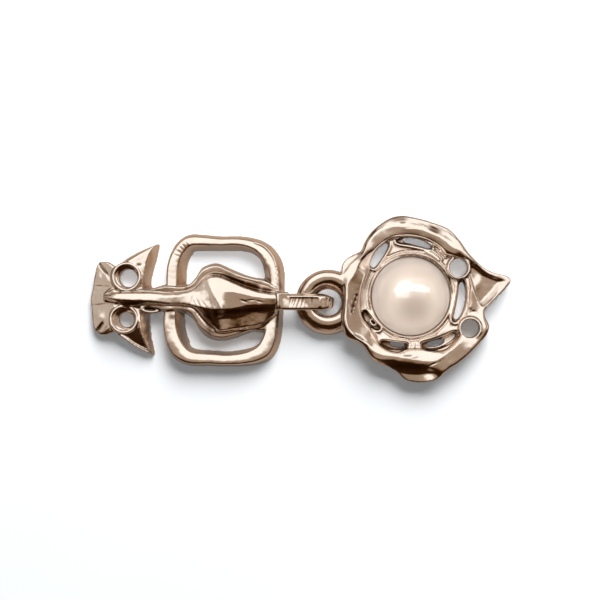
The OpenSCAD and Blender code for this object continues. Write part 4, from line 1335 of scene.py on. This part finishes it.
def makeFloor():
    half, low = studio["floorSize"] / 2, -studio["floorDrop"] * mm
    corners = [(-half, -half, low), (half, -half, low), (half, half, low), (-half, half, low)]
    mesh = bpy.data.meshes.new("floor")
    mesh.from_pydata(corners, [], [(0, 1, 2, 3)])
    mesh.materials.append(paleFloor())
    floor = bpy.data.objects.new("floor", mesh)
    bpy.context.collection.objects.link(floor)
    print("floor:", studio["floorSize"], "m across")
    return floor


def areaLight(name, pieces, at, size, brightness):
    # lamp that lights these pieces and no others; its face is as bright at any size
    light = bpy.data.lights.new(name, "AREA")
    light.shape = "RECTANGLE"
    light.size = size[0] * mm
    light.size_y = size[1] * mm
    light.energy = brightness * math.pi * light.size * light.size_y
    lamp = bpy.data.objects.new(name, light)
    lamp.location = [c * mm for c in at]
    lamp.visible_camera = False
    bpy.context.collection.objects.link(lamp)
    lit = bpy.data.collections.new(name + " lights")
    for piece in pieces:
        lit.objects.link(piece)
    lamp.light_linking.receiver_collection = lit
    return lamp


def makeLights(pearlDome, castings, floor):
    key = areaLight("key light", castings + [floor], **studio["keyLamp"])
    key.rotation_euler = key.location.to_track_quat("Z", "Y").to_euler()
    # a narrow beam opens the floor's shadows in the upper windows and holes
    beam = areaLight("floor beam", [floor], **studio["floorLamp"])
    beam.data.spread = math.radians(studio["floorLampSpread"])
    soft = areaLight("pearl light", [pearlDome], **studio["pearlLamp"])
    for lamp in (key, beam, soft):
        lamp.visible_glossy = False
    # two panels that only show as the shine on the pearl
    strip = areaLight("pearl strip", [pearlDome], **studio["pearlStrip"])
    corner = areaLight("pearl corner", [pearlDome], **studio["pearlCorner"])
    for lamp in (strip, corner):
        lamp.visible_diffuse = False
    print("lights: one over the clasp, one for the floor, three for the pearl")


def angleRamp(tree, side, up, knots):
    # brightness by the angle that a direction makes with the vertical
    angle = mathNode(tree, "ARCTAN2", side, up)
    place = mapRange(tree, angle, (-math.pi / 2, math.pi / 2), (0, 1))
    stops = [((degrees + 90) / 180, (level, level, level, 1)) for degrees, level in knots]
    return colourRamp(tree, place, stops)


def background(tree, colour, brightness):
    light = tree.nodes.new("ShaderNodeBackground")
    setSockets(light, {"Color": colour, "Strength": brightness})
    return light.outputs["Background"]


def makeRoom():
    # the metal mirrors the room and its soft box, and everything else gets a plain fill
    world = bpy.data.worlds.new("studio room")
    bpy.context.scene.world = world
    world.use_nodes = True
    world.cycles.sampling_method = "NONE"  # rays find the room by themselves; it is no lamp
    tree = world.node_tree
    where = tree.nodes.new("ShaderNodeTexCoord")
    split = tree.nodes.new("ShaderNodeSeparateXYZ")
    tree.links.new(where.outputs["Generated"], split.inputs["Vector"])
    x, y, z = (split.outputs[axis] for axis in "XYZ")

    level = mathNode(tree, "MULTIPLY", angleRamp(tree, y, z, roomAcross),
                     angleRamp(tree, x, z, roomAlong))
    walls = tree.nodes["Background"]
    tree.links.new(colourRamp(tree, level, roomTint), walls.inputs["Color"])
    box = mathNode(tree, "MULTIPLY", angleRamp(tree, y, z, boxAcross),
                   angleRamp(tree, x, z, boxAlong))
    panel = tree.nodes.new("ShaderNodeBackground")
    panel.inputs["Color"].default_value = studio["boxColour"]
    tree.links.new(mathNode(tree, "MULTIPLY", box, studio["boxBrightness"]), panel.inputs["Strength"])
    mirrored = tree.nodes.new("ShaderNodeAddShader")
    tree.links.new(walls.outputs["Background"], mirrored.inputs[0])
    tree.links.new(panel.outputs["Background"], mirrored.inputs[1])

    path = tree.nodes.new("ShaderNodeLightPath")
    fill = background(tree, studio["fillColour"], studio["fillBrightness"])
    lit = mixShaders(tree, path.outputs["Is Glossy Ray"], fill, mirrored.outputs["Shader"])
    backdrop = background(tree, studio["backdrop"], 1)
    seen = mixShaders(tree, path.outputs["Is Camera Ray"], lit, backdrop)
    tree.links.new(seen, tree.nodes["World Output"].inputs["Surface"])
    print("room: soft box and", len(roomTint), "wall tones")


def makeCamera():
    x, y = studio["cameraAim"]
    height, sensor = studio["cameraHeight"], studio["sensorWidth"]
    camera = bpy.data.cameras.new("camera")
    camera.sensor_width = sensor
    camera.lens = sensor * height / studio["photoWidth"]
    camera.clip_end = 10
    shooter = bpy.data.objects.new("camera", camera)
    shooter.location = (x * mm, y * mm, height * mm)
    bpy.context.collection.objects.link(shooter)
    bpy.context.scene.camera = shooter
    print("camera:", round(camera.lens), "mm lens, looking straight down")


bpy.context.scene.view_settings.view_transform = "Standard"
metal = roseMetal()
hook = makeHookHalf(metal)
eye = makeEyeHalf(metal)
dome = makePearl(pearlLacquer())
floor = makeFloor()
makeRoom()
makeLights(dome, [hook, eye], floor)
makeCamera()
